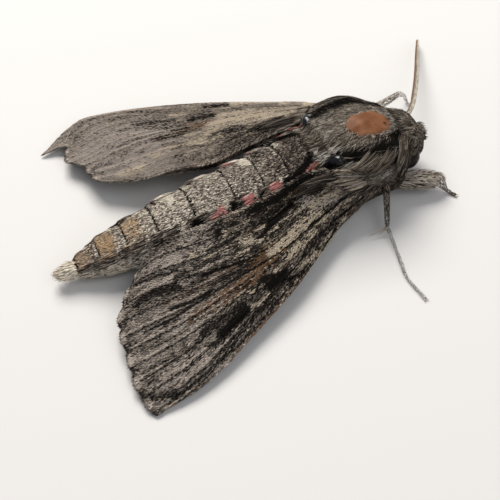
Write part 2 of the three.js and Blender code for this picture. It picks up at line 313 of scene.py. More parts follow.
def to_row(points: Array) -> Array:
    """Turn millimetres on the moth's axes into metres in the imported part's frame."""
    return points * MM + SHIFT


# ---- Markings ------------------------------------------------------------------------------


class Tone(Enum):
    """What a mark does to the ground colour. Each value is its channel."""

    DARK = 0
    PALE = 1
    OCHRE = 2
    ACCENT = 3


@dataclass(frozen=True)
class Stroke:
    """A soft-edged mark along a few points; width is its half width in millimetres."""

    tone: Tone
    points: tuple[tuple[float, float], ...]
    width: float
    strength: float = 1.0
    soft: float = 0.25

    def mask(self, s: Array, t: Array, flat: Callable[[float, float], tuple[float, float]]) -> Array:
        """Give the stroke's strength at each place.

        Args:
            s: Places along the flattened surface, in millimetres.
            t: Places across it.
            flat: Turns the stroke's own coordinates into flattened millimetres.

        Returns:
            Values from 0 to the stroke's strength.
        """
        ends = [flat(*p) for p in self.points]
        ends = ends if len(ends) > 1 else ends * 2
        nearest = np.full(s.shape, 1e9)
        for (s0, t0), (s1, t1) in zip(ends, ends[1:]):
            ds, dt = s1 - s0, t1 - t0
            share = np.clip(((s - s0) * ds + (t - t0) * dt) / max(ds * ds + dt * dt, 1e-9), 0, 1)
            nearest = np.minimum(nearest, np.hypot(s - s0 - share * ds, t - t0 - share * dt))
        return self.strength * smooth(self.width + self.soft, self.width - self.soft, nearest)


def lay(marks: Array, tone: Tone, strength: Array) -> None:
    """Raise one tone's column to at least the given strength, in place."""
    marks[..., tone.value] = np.maximum(marks[..., tone.value], strength)


def painted(strokes: tuple[Stroke, ...], s: Array, t: Array, flat: Callable) -> Array:
    """Lay strokes over each other.

    Args:
        strokes: The marks.
        s: Places along the flattened surface, in millimetres.
        t: Places across it.
        flat: Turns a stroke's coordinates into flattened millimetres.

    Returns:
        One column for each tone, from 0 to 1.
    """
    marks = np.zeros(s.shape + (4,))
    for stroke in strokes:
        lay(marks, stroke.tone, stroke.mask(s, t, flat))
    return marks


D, P, O, A = Tone.DARK, Tone.PALE, Tone.OCHRE, Tone.ACCENT


@dataclass(frozen=True)
class BodyMarks:
    """Markings of head, thorax and abdomen, over x in millimetres and degrees from the back."""

    form: BodyForm = BodyForm()
    mm_per_degree: float = 0.09
    strokes: tuple[Stroke, ...] = (
        Stroke(D, ((20.3, -34), (18.0, -41), (15.0, -45), (12.2, -40)), 0.75, 0.97, 0.5),
        Stroke(D, ((20.3, 28), (17.5, 33), (14.0, 37), (11.8, 36)), 0.75, 0.95, 0.5),
        Stroke(D, ((19.6, -62), (17.4, -66), (15.6, -62)), 0.35, 0.6, 0.4),
        Stroke(P, ((14.8, -64), (12.4, -66), (9.6, -76)), 0.95, 0.3, 0.6),
        Stroke(O, ((14.4, -62), (11.4, -70)), 0.7, 0.2, 0.5),
        Stroke(P, ((20.3, -18), (20.4, 0), (20.2, 13)), 0.5, 0.4, 0.4),
        Stroke(D, ((7.1, 36), (6.8, 56)), 0.45, 0.9, 0.25),
        Stroke(P, ((5.0, 29), (4.3, 60)), 0.7, 0.6, 0.4),
        Stroke(P, ((0.6, 20), (0.3, 60)), 0.75, 0.85, 0.4),
        Stroke(P, ((-4.0, 22), (-4.6, 60)), 0.7, 0.6, 0.4),
        Stroke(P, ((-9.7, -50), (-9.8, -30)), 0.5, 0.5, 0.4),
        Stroke(P, ((-9.8, 12), (-9.8, 60)), 0.6, 0.95, 0.4),
        Stroke(D, ((2.3, 24), (2.2, 56)), 0.35, 0.5, 0.3),
        Stroke(D, ((-2.2, 32), (-2.2, 56)), 0.3, 0.55, 0.3),
        Stroke(D, ((-6.9, 38), (-6.9, 58)), 0.4, 0.6, 0.3),
        Stroke(D, ((-11.6, 30), (-12.2, 58)), 0.45, 0.6, 0.35),
        Stroke(D, ((-15.8, 30), (-15.8, 58)), 0.4, 0.75, 0.3),
        Stroke(D, ((19.6, 60), (16.0, 64), (12.0, 62)), 0.35, 0.7, 0.4),
        Stroke(D, ((21.2, -44), (21.4, -20), (21.5, 0), (21.4, 26), (21.2, 46)), 0.3, 0.5, 0.35),
        Stroke(D, ((17.5, -15),), 0.28, 0.9, 0.2),
        Stroke(D, ((10.9, -39), (10.2, -45), (9.5, -54)), 0.75, 1.0, 0.2),
        Stroke(D, ((10.3, 34), (10.0, 44), (9.9, 56)), 0.7, 1.0, 0.2),
        Stroke(D, ((8.2, -20), (7.6, -27), (6.6, -34), (5.2, -40), (4.4, -46)), 0.55, 1.0, 0.25),
        Stroke(D, ((8.2, 26), (7.4, 34), (6.4, 40), (4.8, 46)), 0.5, 1.0, 0.25),
        Stroke(P, ((10.9, -30), (10.2, -32), (9.6, -33)), 0.5, 0.7, 0.35),
        Stroke(P, ((11.2, 35), (10.8, 42)), 0.4, 0.95, 0.25),
        Stroke(P, ((8.8, -16), (8.8, -26)), 0.3, 0.9, 0.2),
        Stroke(P, ((8.9, 36), (9.0, 50)), 0.3, 0.9, 0.2),
        Stroke(P, ((12.1, -34), (11.6, -38)), 0.35, 0.8, 0.25),
        Stroke(P, ((11.9, -12), (11.0, 2), (11.2, 18), (13.2, 26)), 0.8, 0.25, 0.8),
        Stroke(P, ((19.0, -27), (19.2, -8), (19.0, 12)), 0.7, 0.42, 0.6),
        Stroke(P, ((19.5, -52), (16.0, -55), (12.6, -54)), 0.5, 0.4, 0.4),
        Stroke(P, ((19.5, 47), (16.0, 51), (12.6, 52)), 0.28, 0.5, 0.3),
        Stroke(P, ((20.0, -78), (15.0, -80), (10.0, -74)), 0.7, 0.4, 0.6),
        Stroke(P, ((20.0, 78), (15.0, 80), (10.0, 74)), 0.7, 0.4, 0.6),
        Stroke(O, ((19.0, -24), (19.4, 0), (18.6, 18)), 0.6, 0.35, 0.6),
        Stroke(O, ((8.9, -40), (8.6, -46)), 0.4, 0.8, 0.25),
        Stroke(O, ((8.6, -30), (8.8, 34)), 0.35, 0.4, 0.3),
    )
    cream: tuple[tuple[float, ...], tuple[float, ...]] = (
        (-24, -20, -16, -12, -6, -1, 3, 4.4, 5, 8.4),
        (0.2, 0.25, 0.42, 0.5, 0.42, 0.32, 0.14, 0.1, 0.04, 0.02),
    )
    worn: tuple[tuple[float, ...], tuple[float, ...]] = (
        (-24, -22.9, -21.6, -20.6, -20.0, -19.8, -18.2, -17.4, -16.6, -16.4, -14.8, -13.6, -12),
        (0.6, 0.85, 0.75, 0.25, 0.15, 1.0, 0.95, 0.3, 0.1, 0.8, 0.75, 0.12, 0.05),
    )
    bare_middle: tuple[float, float] = (16.2, -9.5)
    bare_half: tuple[float, float] = (2.85, 17.5)

    def bare(self, x: Array, degrees: Array) -> Array:
        """Give the mask of the worn patch of naked horn on the back."""
        ds = (x - self.bare_middle[0]) / self.bare_half[0]
        dt = (degrees - self.bare_middle[1]) / self.bare_half[1]
        ragged = 0.22 * Mottle(5).rough(x * 1.9, degrees * 0.17)
        return smooth(1.08, 0.92, (np.abs(ds) ** 2.15 + np.abs(dt) ** 2.15) ** (1 / 2.15) + ragged)

    def gloss(self, x: Array, degrees: Array) -> Array:
        """Give the mask of the glossy blue-black domes behind the thorax."""
        right = np.hypot((x - 10.3) / 0.95, (degrees + 46.0) / 8.5)
        left = np.hypot((x - 9.95) / 0.75, (degrees - 43.0) / 11.5)
        return smooth(1.1, 0.85, np.minimum(right, left))

    def at(self, x: Array, angle: Array) -> Array:
        """Give all marks at places on the body.

        Args:
            x: Places along the body, in millimetres.
            angle: Angles from the back, in radians.

        Returns:
            One column for each tone.
        """
        degrees = np.degrees(angle)
        warp = Mottle(11)
        s = x + 0.22 * warp.rough(x * 1.4, degrees * 0.11)
        deg = degrees + 3.2 * Mottle(12).rough(x * 1.6, degrees * 0.13)
        flat = lambda a, b: (a, b * self.mm_per_degree)
        marks = painted(self.strokes, s, deg * self.mm_per_degree, flat)
        self.ring_marks(marks, x + 0.25 * (s - x), deg)
        return np.clip(marks, 0, 1)

    def ring_marks(self, marks: Array, x: Array, degrees: Array) -> None:
        """Add the marks that each ring of the abdomen repeats, in place."""
        on_rings = smooth(8.4, 7.9, x) * smooth(-24.4, -23.9, x)
        side = np.abs(degrees - 2.0)
        number, share = self.form.ring_share(x)
        _, side_share = self.form.ring_share(x + 0.75)
        fresh = np.clip(1.55 - 0.25 * number, 0.0, 1.0)
        rag = 0.1 * Mottle(14).rough(x * 2.2, degrees * 0.2)
        inner = 34.0 + 14.0 * smooth(-6.0, -12.0, x) * smooth(0.0, -10.0, degrees)
        flank = smooth(inner, inner + 4.0, side) * smooth(62.0, 55.0, side) * on_rings
        black = smooth(0.54, 0.6, side_share + rag) * smooth(1.02, 0.95, side_share) * (number < 6)
        black *= np.where(degrees > 0, smooth(47.0, 52.0, side), 1.0)
        patchy = smooth(-0.22, 0.1, Mottle(17).rough(x * 1.1 + 3.0, degrees * 0.1))
        ragged = side_share + rag
        pink = smooth(0.06, 0.16, ragged) * smooth(0.44, 0.3, ragged) * patchy * (number < 5)
        tipped = smooth(0.0, 0.05, ragged) * smooth(0.2, 0.12, ragged)
        top = smooth(44.0, 34.0, side) * on_rings
        edge = smooth(0.942, 0.952, share)
        behind = smooth(0.1, 0.04, share)
        cream = np.interp(x, *self.cream)
        worn = np.interp(x, *self.worn)
        worn *= (0.8 + 0.25 * Mottle(19).rough(x * 1.7, degrees * 0.14)) * smooth(58.0, 20.0, side)
        under = smooth(74.0, 100.0, side + 24.0 * smooth(-10.0, -14.0, x)) * on_rings
        shown = np.where(number == 1, 0.3, 1.0) * fresh
        shoulders = smooth(28.0, 33.0, side) * smooth(50.0, 40.0, side) * tipped * on_rings * 0.7
        lay(marks, D, flank * black * shown)
        # Dark line at each ring's rear edge: partly the ring's own black edge scales, partly painted shade
        # where the edge overlaps the next ring.
        lay(marks, D, smooth(84.0, 66.0, side) * on_rings * edge * 0.97)
        lay(marks, P, np.maximum(top, 0.25 * on_rings) * 0.85 * cream * (1 - 0.85 * worn))
        lay(marks, P, shoulders * smooth(6.8, 6.0, x))
        lay(marks, P, top * behind * 0.3)
        lay(marks, P, under * 0.55)
        lay(marks, P, smooth(-23.3, -23.9, x) * 0.95)
        lay(marks, O, on_rings * worn * smooth(-9.0, -13.0, x))
        lay(marks, A, flank * pink * np.clip(1.35 - 0.17 * number, 0, 0.9))


@dataclass(frozen=True)
class Vein:
    """One vein of a wing: where it starts, its height across the wing at half way and at the margin."""

    start: tuple[float, float]
    middle: float
    end: float
    depth: float = 1.0

    def offset(self, u: Array, v: Array) -> Array:
        """Give how far v lies from the vein, and 9 before the vein starts."""
        t = np.clip((u - self.start[0]) / (1 - self.start[0]), 0, 1)
        line = self.start[1] * (1 - t) ** 2 + 2 * self.middle * t * (1 - t) + self.end * t * t
        return np.where(u >= self.start[0], v - line, 9.0)


VEINS: tuple[Vein, ...] = (
    Vein((0.04, 0.13), 0.13, -0.02, 1.3),
    Vein((0.08, 0.24), 0.10, 0.05),
    Vein((0.52, 0.17), 0.15, 0.12),
    Vein((0.56, 0.20), 0.21, 0.21),
    Vein((0.58, 0.26), 0.28, 0.31),
    Vein((0.58, 0.33), 0.36, 0.41),
    Vein((0.55, 0.38), 0.43, 0.50),
    Vein((0.46, 0.42), 0.50, 0.60, 1.2),
    Vein((0.36, 0.45), 0.58, 0.71, 1.2),
    Vein((0.10, 0.50), 0.66, 0.82, 1.3),
    Vein((0.08, 0.66), 0.80, 0.92),
)

WING_STROKES: tuple[Stroke, ...] = (
    Stroke(D, ((0.10, 0.13), (0.24, 0.12), (0.3, 0.125)), 0.3, 0.85),
    Stroke(D, ((0.3, 0.12), (0.42, 0.13), (0.5, 0.115), (0.62, 0.085), (0.8, 0.045), (0.97, 0.02)),
           0.14, 0.95, 0.12),
    Stroke(D, ((0.45, 0.145), (0.6, 0.11), (0.7, 0.085), (0.82, 0.075)), 0.1, 0.9, 0.1),
    Stroke(D, ((0.58, 0.03), (0.7, 0.03), (0.95, 0.035)), 0.14, 0.8, 0.15),
    Stroke(D, ((0.235, 0.07), (0.29, 0.09)), 0.3, 0.6),
    Stroke(D, ((0.32, 0.03), (0.34, 0.06)), 0.2, 0.5),
    Stroke(P, ((0.2, 0.035), (0.29, 0.03), (0.38, 0.05)), 0.5, 0.5, 0.4),
    Stroke(P, ((0.1, 0.24), (0.16, 0.245), (0.24, 0.25)), 0.55, 0.65, 0.4),
    Stroke(P, ((0.16, 0.46), (0.24, 0.46), (0.34, 0.46)), 0.9, 0.7, 0.6),
    Stroke(P, ((0.2, 0.57), (0.34, 0.535), (0.48, 0.55)), 0.55, 0.55, 0.5),
    Stroke(P, ((0.1, 0.78), (0.15, 0.72), (0.18, 0.64)), 0.9, 0.75, 0.6),
    Stroke(P, ((0.05, 0.86), (0.12, 0.86)), 1.1, 0.6, 0.6),
    Stroke(P, ((0.46, 0.64), (0.49, 0.66)), 0.45, 0.6, 0.4),
    Stroke(P, ((0.72, 0.75), (0.74, 0.77)), 0.5, 0.7, 0.4),
    Stroke(D, ((0.7, 0.54), (0.8, 0.56), (0.93, 0.575)), 0.55, 0.55, 0.4),
    Stroke(D, ((0.76, 0.655), (0.79, 0.655)), 0.5, 0.8, 0.3),
    Stroke(D, ((0.66, 0.46), (0.69, 0.46)), 0.35, 0.7, 0.3),
    Stroke(D, ((0.82, 0.98), (0.9, 0.98), (0.98, 0.94)), 0.4, 0.6, 0.4),
    Stroke(D, ((0.43, 0.04), (0.48, 0.10)), 0.4, 0.85),
    Stroke(D, ((0.48, 0.155), (0.54, 0.17)), 0.7, 1.0, 0.3),
    Stroke(D, ((0.51, 0.2), (0.55, 0.25)), 0.5, 0.85),
    Stroke(D, ((0.64, 0.155), (0.735, 0.155)), 0.62, 1.0, 0.3),
    Stroke(D, ((0.64, 0.2), (0.69, 0.23), (0.78, 0.24)), 0.45, 0.85),
    Stroke(D, ((0.75, 0.12), (0.79, 0.16)), 0.35, 0.7),
    Stroke(D, ((0.575, 0.20), (0.61, 0.215), (0.6, 0.26), (0.575, 0.245), (0.575, 0.20)), 0.15, 0.9, 0.15),
    Stroke(D, ((0.13, 0.33), (0.2, 0.275), (0.27, 0.27), (0.31, 0.3)), 0.3, 0.95),
    Stroke(D, ((0.30, 0.28), (0.4, 0.32), (0.5, 0.35), (0.56, 0.385)), 0.13, 0.95, 0.12),
    Stroke(D, ((0.51, 0.345), (0.6, 0.4), (0.7, 0.42), (0.84, 0.43), (0.93, 0.455)), 0.12, 1.0, 0.1),
    Stroke(D, ((0.53, 0.45), (0.58, 0.48), (0.66, 0.54), (0.71, 0.565)), 0.26, 1.0, 0.14),
    Stroke(D, ((0.5, 0.47), (0.56, 0.53), (0.61, 0.6), (0.7, 0.64)), 0.12, 0.9, 0.12),
    Stroke(D, ((0.71, 0.44), (0.77, 0.455), (0.84, 0.485)), 0.24, 1.0, 0.14),
    Stroke(D, ((0.4, 0.425), (0.5, 0.44), (0.6, 0.465)), 0.12, 0.8, 0.12),
    Stroke(D, ((0.56, 0.41), (0.66, 0.45)), 0.55, 0.6, 0.5),
    Stroke(D, ((0.345, 0.66), (0.39, 0.64), (0.43, 0.635)), 0.75, 1.0, 0.3),
    Stroke(D, ((0.43, 0.6), (0.49, 0.575)), 0.3, 0.9, 0.2),
    Stroke(D, ((0.4, 0.7), (0.45, 0.74)), 0.8, 0.6, 0.6),
    Stroke(D, ((0.25, 0.95), (0.35, 0.9), (0.51, 0.93)), 1.1, 0.92, 0.8),
    Stroke(D, ((0.33, 0.72), (0.42, 0.78), (0.5, 0.86)), 1.0, 0.4, 0.8),
    Stroke(D, ((0.55, 0.72), (0.6, 0.71), (0.66, 0.73)), 0.35, 0.8),
    Stroke(D, ((0.635, 0.82), (0.65, 0.87)), 0.55, 0.95),
    Stroke(D, ((0.57, 0.86), (0.66, 0.96)), 0.5, 0.7),
    Stroke(D, ((0.8, 0.6), (0.86, 0.63), (0.94, 0.65)), 0.55, 0.85),
    Stroke(D, ((0.64, 0.63), (0.72, 0.66)), 0.4, 0.7),
    Stroke(D, ((0.3, 0.46), (0.36, 0.5), (0.4, 0.53)), 0.5, 0.6, 0.4),
    Stroke(D, ((0.3, 0.42), (0.38, 0.48)), 0.14, 0.8, 0.14),
    Stroke(D, ((0.78, 0.7), (0.88, 0.75), (0.97, 0.8)), 0.12, 0.9, 0.12),
    Stroke(D, ((0.72, 0.6), (0.79, 0.64)), 0.35, 0.6),
    Stroke(D, ((0.82, 0.32), (0.92, 0.35)), 0.14, 0.7, 0.14),
    Stroke(D, ((0.8, 0.22), (0.9, 0.235), (0.97, 0.25)), 0.14, 0.6, 0.14),
    Stroke(D, ((0.93, 0.04), (0.99, 0.10)), 0.5, 0.85, 0.4),
    Stroke(P, ((0.26, 0.3), (0.33, 0.31), (0.42, 0.35), (0.45, 0.38)), 0.28, 1.0, 0.2),
    Stroke(P, ((0.26, 0.34), (0.36, 0.375), (0.47, 0.4)), 0.85, 0.85, 0.5),
    Stroke(P, ((0.32, 0.20), (0.38, 0.24), (0.43, 0.25)), 0.8, 0.75, 0.5),
    Stroke(P, ((0.34, 0.02), (0.39, 0.07), (0.42, 0.1)), 0.4, 0.65, 0.3),
    Stroke(P, ((0.19, 0.03), (0.22, 0.09)), 0.35, 0.4, 0.3),
    Stroke(P, ((0.56, 0.13), (0.61, 0.14)), 0.5, 0.7, 0.35),
    Stroke(P, ((0.62, 0.26), (0.66, 0.29)), 0.3, 0.45, 0.3),
    Stroke(P, ((0.588, 0.225), (0.594, 0.235)), 0.34, 1.0, 0.14),
    Stroke(P, ((0.42, 0.44), (0.48, 0.50)), 0.5, 0.6, 0.5),
    Stroke(P, ((0.49, 0.53), (0.53, 0.62), (0.55, 0.68)), 0.65, 0.68, 0.5),
    Stroke(P, ((0.53, 0.51), (0.58, 0.55)), 0.45, 0.85, 0.3),
    Stroke(P, ((0.2, 0.22), (0.29, 0.245)), 0.36, 0.8, 0.3),
    Stroke(P, ((0.6, 0.66), (0.69, 0.69)), 0.3, 0.75, 0.3),
    Stroke(P, ((0.6, 0.79), (0.61, 0.88)), 0.35, 0.6, 0.3),
    Stroke(O, ((0.36, 0.35), (0.46, 0.345), (0.55, 0.34), (0.68, 0.35), (0.8, 0.365)), 0.62, 0.9, 0.5),
    Stroke(O, ((0.46, 0.4), (0.56, 0.41)), 0.7, 0.85, 0.5),
    Stroke(O, ((0.54, 0.29), (0.62, 0.3), (0.72, 0.31)), 0.5, 0.75, 0.4),
    Stroke(O, ((0.42, 0.45), (0.5, 0.47)), 0.45, 0.7, 0.4),
    Stroke(O, ((0.6, 0.48), (0.72, 0.51), (0.84, 0.53)), 0.5, 0.6, 0.4),
    Stroke(O, ((0.45, 0.0), (0.7, 0.0), (0.97, 0.0)), 0.2, 0.9, 0.15),
    Stroke(A, ((0.19, 0.4), (0.26, 0.44), (0.28, 0.6)), 1.1, 0.9, 0.6),
    Stroke(A, ((0.30, 0.54), (0.36, 0.52)), 0.4, 0.55, 0.4),
    Stroke(A, ((0.60, 0.62), (0.7, 0.6)), 0.45, 0.6, 0.4),
    Stroke(A, ((0.81, 0.365), (0.87, 0.375)), 0.42, 0.85, 0.3),
    Stroke(A, ((0.80, 0.66), (0.88, 0.70)), 0.6, 0.75, 0.5),
    Stroke(A, ((0.78, 0.78), (0.88, 0.84)), 0.9, 0.8, 0.6),
    Stroke(A, ((0.68, 0.74), (0.78, 0.72)), 0.6, 0.6, 0.5),
    Stroke(A, ((0.70, 0.86), (0.80, 0.92)), 0.7, 0.5, 0.6),
)


# ---- Wings: surface and marks --------------------------------------------------------------


@dataclass(frozen=True)
class Rail:
    """A centripetal curve through points, read by its share of length."""

    points: tuple[tuple[float, float, float], ...]
    steps: int = 600

    @lru_cache(maxsize=None)
    def table(self) -> tuple[Array, Array]:
        """Sample the curve densely: share of length, and points."""
        p = np.array(self.points, float)
        p = np.vstack([2 * p[0] - p[1], p, 2 * p[-1] - p[-2]])
        spans = len(self.points) - 1
        out = []
        for s in np.linspace(0, spans, self.steps):
            i = min(int(s), spans - 1)
            a, b, c, d = p[i : i + 4]
            dt = [max(np.linalg.norm(q - r) ** 0.5, 1e-4) for q, r in ((b, a), (c, b), (d, c))]
            tb = ((b - a) / dt[0] - (c - a) / (dt[0] + dt[1]) + (c - b) / dt[1]) * dt[1]
            tc = ((c - b) / dt[1] - (d - b) / (dt[1] + dt[2]) + (d - c) / dt[2]) * dt[1]
            t = s - i
            out.append(b + tb * t + (3 * (c - b) - 2 * tb - tc) * t**2 + (2 * (b - c) + tb + tc) * t**3)
        pts = np.array(out)
        run = np.concatenate([[0], np.cumsum(np.linalg.norm(np.diff(pts, axis=0), axis=1))])
        return run / run[-1], pts

    def at(self, share: Array) -> Array:
        """Give the curve's points at shares of its length."""
        run, pts = self.table()
        return np.stack([np.interp(share, run, pts[:, k]) for k in range(3)], -1)


@dataclass(frozen=True)
class WingForm:
    """A forewing as a patch between its front edge, rear edge, root and outer margin."""

    side: int
    front: tuple[tuple[float, float, float], ...]
    rear: tuple[tuple[float, float, float], ...]
    margin: tuple[tuple[float, float, float], ...]
    pattern: tuple[tuple[float, ...], tuple[float, ...]]
    scallops: int = 7
    scallop_depth: float = 0.35
    camber: float = 0.7
    floor_gap: float = 0.27
    # Painted light: a wing that faces the light gets paler scales and weaker dark marks, the same pigment lit
    # more.
    painted_light_pale_share: float = 1.0
    painted_light_dark_share: float = 1.0
    pleat: float = 0.05
    own: tuple[Stroke, ...] = ()

    def flat_point(self, u: Array, v: Array) -> Array:
        """Give the smooth middle surface, u from root to margin and v from front to rear."""
        uc, vc = np.clip(u, 0, 1), np.clip(v, 0, 1)
        f0, f1 = np.array(self.front[0]), np.array(self.front[-1])
        r0, r1 = np.array(self.rear[0]), np.array(self.rear[-1])
        u1, v1 = uc[..., None], vc[..., None]
        across = Rail(self.front).at(uc) * (1 - v1) + Rail(self.rear).at(uc) * v1
        outward = (f0 * (1 - v1) + r0 * v1) * (1 - u1) + Rail(self.margin).at(vc) * u1
        p = across + outward - ((f0 * (1 - v1) + r0 * v1) * (1 - u1) + (f1 * (1 - v1) + r1 * v1) * u1)
        p[..., 0] -= self.scallop_depth * (np.abs(np.sin(math.pi * self.scallops * vc)) - 0.5) * uc**6
        p[..., 2] += self.camber * np.sin(math.pi * vc) * np.sin(math.pi * np.minimum(1, uc * 1.1))
        p[..., 2] = np.maximum(p[..., 2], self.floor_gap)
        return p

    def relief(self, u: Array, v: Array) -> Array:
        """Give the height of veins and the pleats between them, in millimetres."""
        gap = np.full(u.shape, 9.0)
        ridge = np.zeros(u.shape)
        for vein in VEINS:
            off = vein.offset(u, self.to_pattern(v))
            begun = smooth(vein.start[0], vein.start[0] + 0.05, u)
            ridge = np.maximum(ridge, vein.depth * bell(off, 0.012) * begun)
            gap = np.minimum(gap, np.abs(off))
        fold = 0.16 * bell(self.to_pattern(v) - 0.62 - 0.1 * u, 0.03) * smooth(0.04, 0.2, u)
        pleat = self.pleat * smooth(0.0, 0.05, np.minimum(gap, 0.06)) * smooth(0.35, 0.8, u)
        root = 0.25 * Mottle(31 + self.side).rough(u * 16, v * 5) * smooth(0.35, 0.05, u)
        return 0.07 * ridge - pleat - fold + root

    def to_pattern(self, v: Array) -> Array:
        """Turn v into the height across the wing that the markings are written for."""
        return np.interp(v, self.pattern[0], self.pattern[1])

    def from_pattern(self, v: float) -> float:
        """Turn a marking's height across the wing into v."""
        return float(np.interp(v, self.pattern[1], self.pattern[0]))

    def plane(self, u: Array, v: Array) -> tuple[Array, Array]:
        """Flatten (u, v) to millimetres along the wing and across it."""
        return u * WING_LENGTH, self.to_pattern(v) * WING_PATTERN

    def marks(self, u: Array, v: Array) -> Array:
        """Give all marks at places on the wing.

        Args:
            u: Places from root to margin.
            v: Places from front to rear.

        Returns:
            One column for each tone.
        """
        s, t = self.plane(u, v)
        s = s + 0.5 * Mottle(21 + self.side).rough(s * 0.7, t * 1.6)
        t = t + 0.2 * Mottle(23 + self.side).rough(s * 0.5, t * 1.7)
        flat = lambda a, b: (a * WING_LENGTH, b * WING_PATTERN)
        marks = painted(WING_STROKES, s, t, flat)
        # Painted light: the far wing's dark marks are weakened for its lit side.
        marks[..., 0] *= self.painted_light_dark_share
        gap = np.full(u.shape, 9.0)
        for vein in VEINS:
            off = vein.offset(u, self.to_pattern(v))
            gap = np.where(np.abs(off) < np.abs(gap), off, gap)
        outer = smooth(0.5, 0.8, u)
        fan = WING_PATTERN * (self.to_pattern(v) + self.lie(v) * (1 - u))
        band = Mottle(25).rough(s * 0.3, fan * 1.1)
        streak = Mottle(27).rough(s * 0.5, fan * 3.2)
        thin = Mottle(28).rough(s * 0.8, fan * 7.0)
        checker = smooth(0.965, 0.99, u) * (0.5 + 0.5 * np.cos(2 * math.pi * self.scallops * v))
        line = (0.6 + 0.3 * outer) * bell(gap, 0.0075)
        dark = (0.75 - 0.35 * outer) * smooth(0.12, 0.5, streak + 0.4 * band)
        darkest = np.maximum(np.maximum(line, dark), (0.8 - 0.25 * outer) * smooth(0.28, 0.42, thin))
        darkest *= 1 - 0.55 * smooth(0.3, 0.14, u)
        # The painted light of the far wing weakens its dark streaks here and its ochre below.
        lay(marks, D, np.maximum(darkest, 0.35 * checker) / self.painted_light_pale_share)
        light = 0.5 * smooth(0.1, 0.5, -streak) + 0.35 * smooth(0.25, 0.45, -thin)
        lay(marks, P, light * (0.75 - 0.55 * outer))
        # Painted highlight: a pale line along one side of each vein, where its ridge catches the light.
        ridge = bell(gap - 0.017, 0.008) * (0.25 + 0.5 * outer)
        lay(marks, A, np.maximum(ridge, outer * (0.42 + 0.5 * band)))
        lay(marks, O, 0.3 * smooth(0.0, 0.4, -band) * (1 - outer))
        marks[..., O.value] /= self.painted_light_pale_share**0.5
        zigzag = u - 0.855 - 0.014 * np.sin(2 * math.pi * 6.5 * v)
        lay(marks, D, 0.3 * bell(zigzag, 0.006))
        lay(marks, A, 0.6 * bell(zigzag - 0.016, 0.008))
        own = painted(self.own, s, t, flat)
        marks[..., (1, 3)] *= 1 - own[..., 2:3]
        return np.clip(np.maximum(marks, own), 0, 1)

    def place(self, u: Array, v: Array, lift: float | Array = 0.0) -> Array:
        """Give a point over the wing's upper skin, running straight on past the edges.

        Args:
            u: Places from root to margin.
            v: Places from front to rear.
            lift: Height over the skin, in millimetres; below it where negative.

        Returns:
            Points in millimetres.
        """
        uc, vc = np.clip(u, 0.0, 1.0), np.clip(v, 0.0, 1.0)
        along, across, out = normals_of(self.flat_point, uc, vc, *FLAT_STEPS)
        height = 0.14 + self.relief(uc, vc) + lift
        p = self.flat_point(uc, vc) + out * self.side * height[..., None]
        p += along * ((u - uc) * WING_LENGTH)[..., None] + across * ((v - vc) * WING_DEPTH)[..., None]
        p[..., 2] = np.maximum(p[..., 2], 0.05)
        return p

    def brightness(self, u: Array, v: Array) -> Array:
        """Give the share of pale scales in the ground colour, raised on the far wing as painted light."""
        inner = smooth(0.5, 0.66, self.to_pattern(v)) * smooth(0.62, 0.46, u)
        outer = smooth(0.6, 0.85, u)
        ground = 0.27 + 0.16 * outer - 0.15 * inner * smooth(0.16, 0.26, u)
        return self.painted_light_pale_share * ground + 0.16 * smooth(0.24, 0.12, u)

    def lie(self, v: Array) -> Array:
        """Give how far v drifts for each unit of u along the veins."""
        heights = (0, 0.15, 0.21, 0.35, 0.5, 0.8, 1)
        return np.interp(self.to_pattern(v), heights, (-0.1, -0.08, 0, 0.17, 0.3, 0.3, 0.1))

    def outward(self, u: Array, v: Array) -> Array:
        """Give the direction away from the wing's upper face."""
        return normals_of(self.flat_point, u, v, *FLAT_STEPS)[2] * self.side


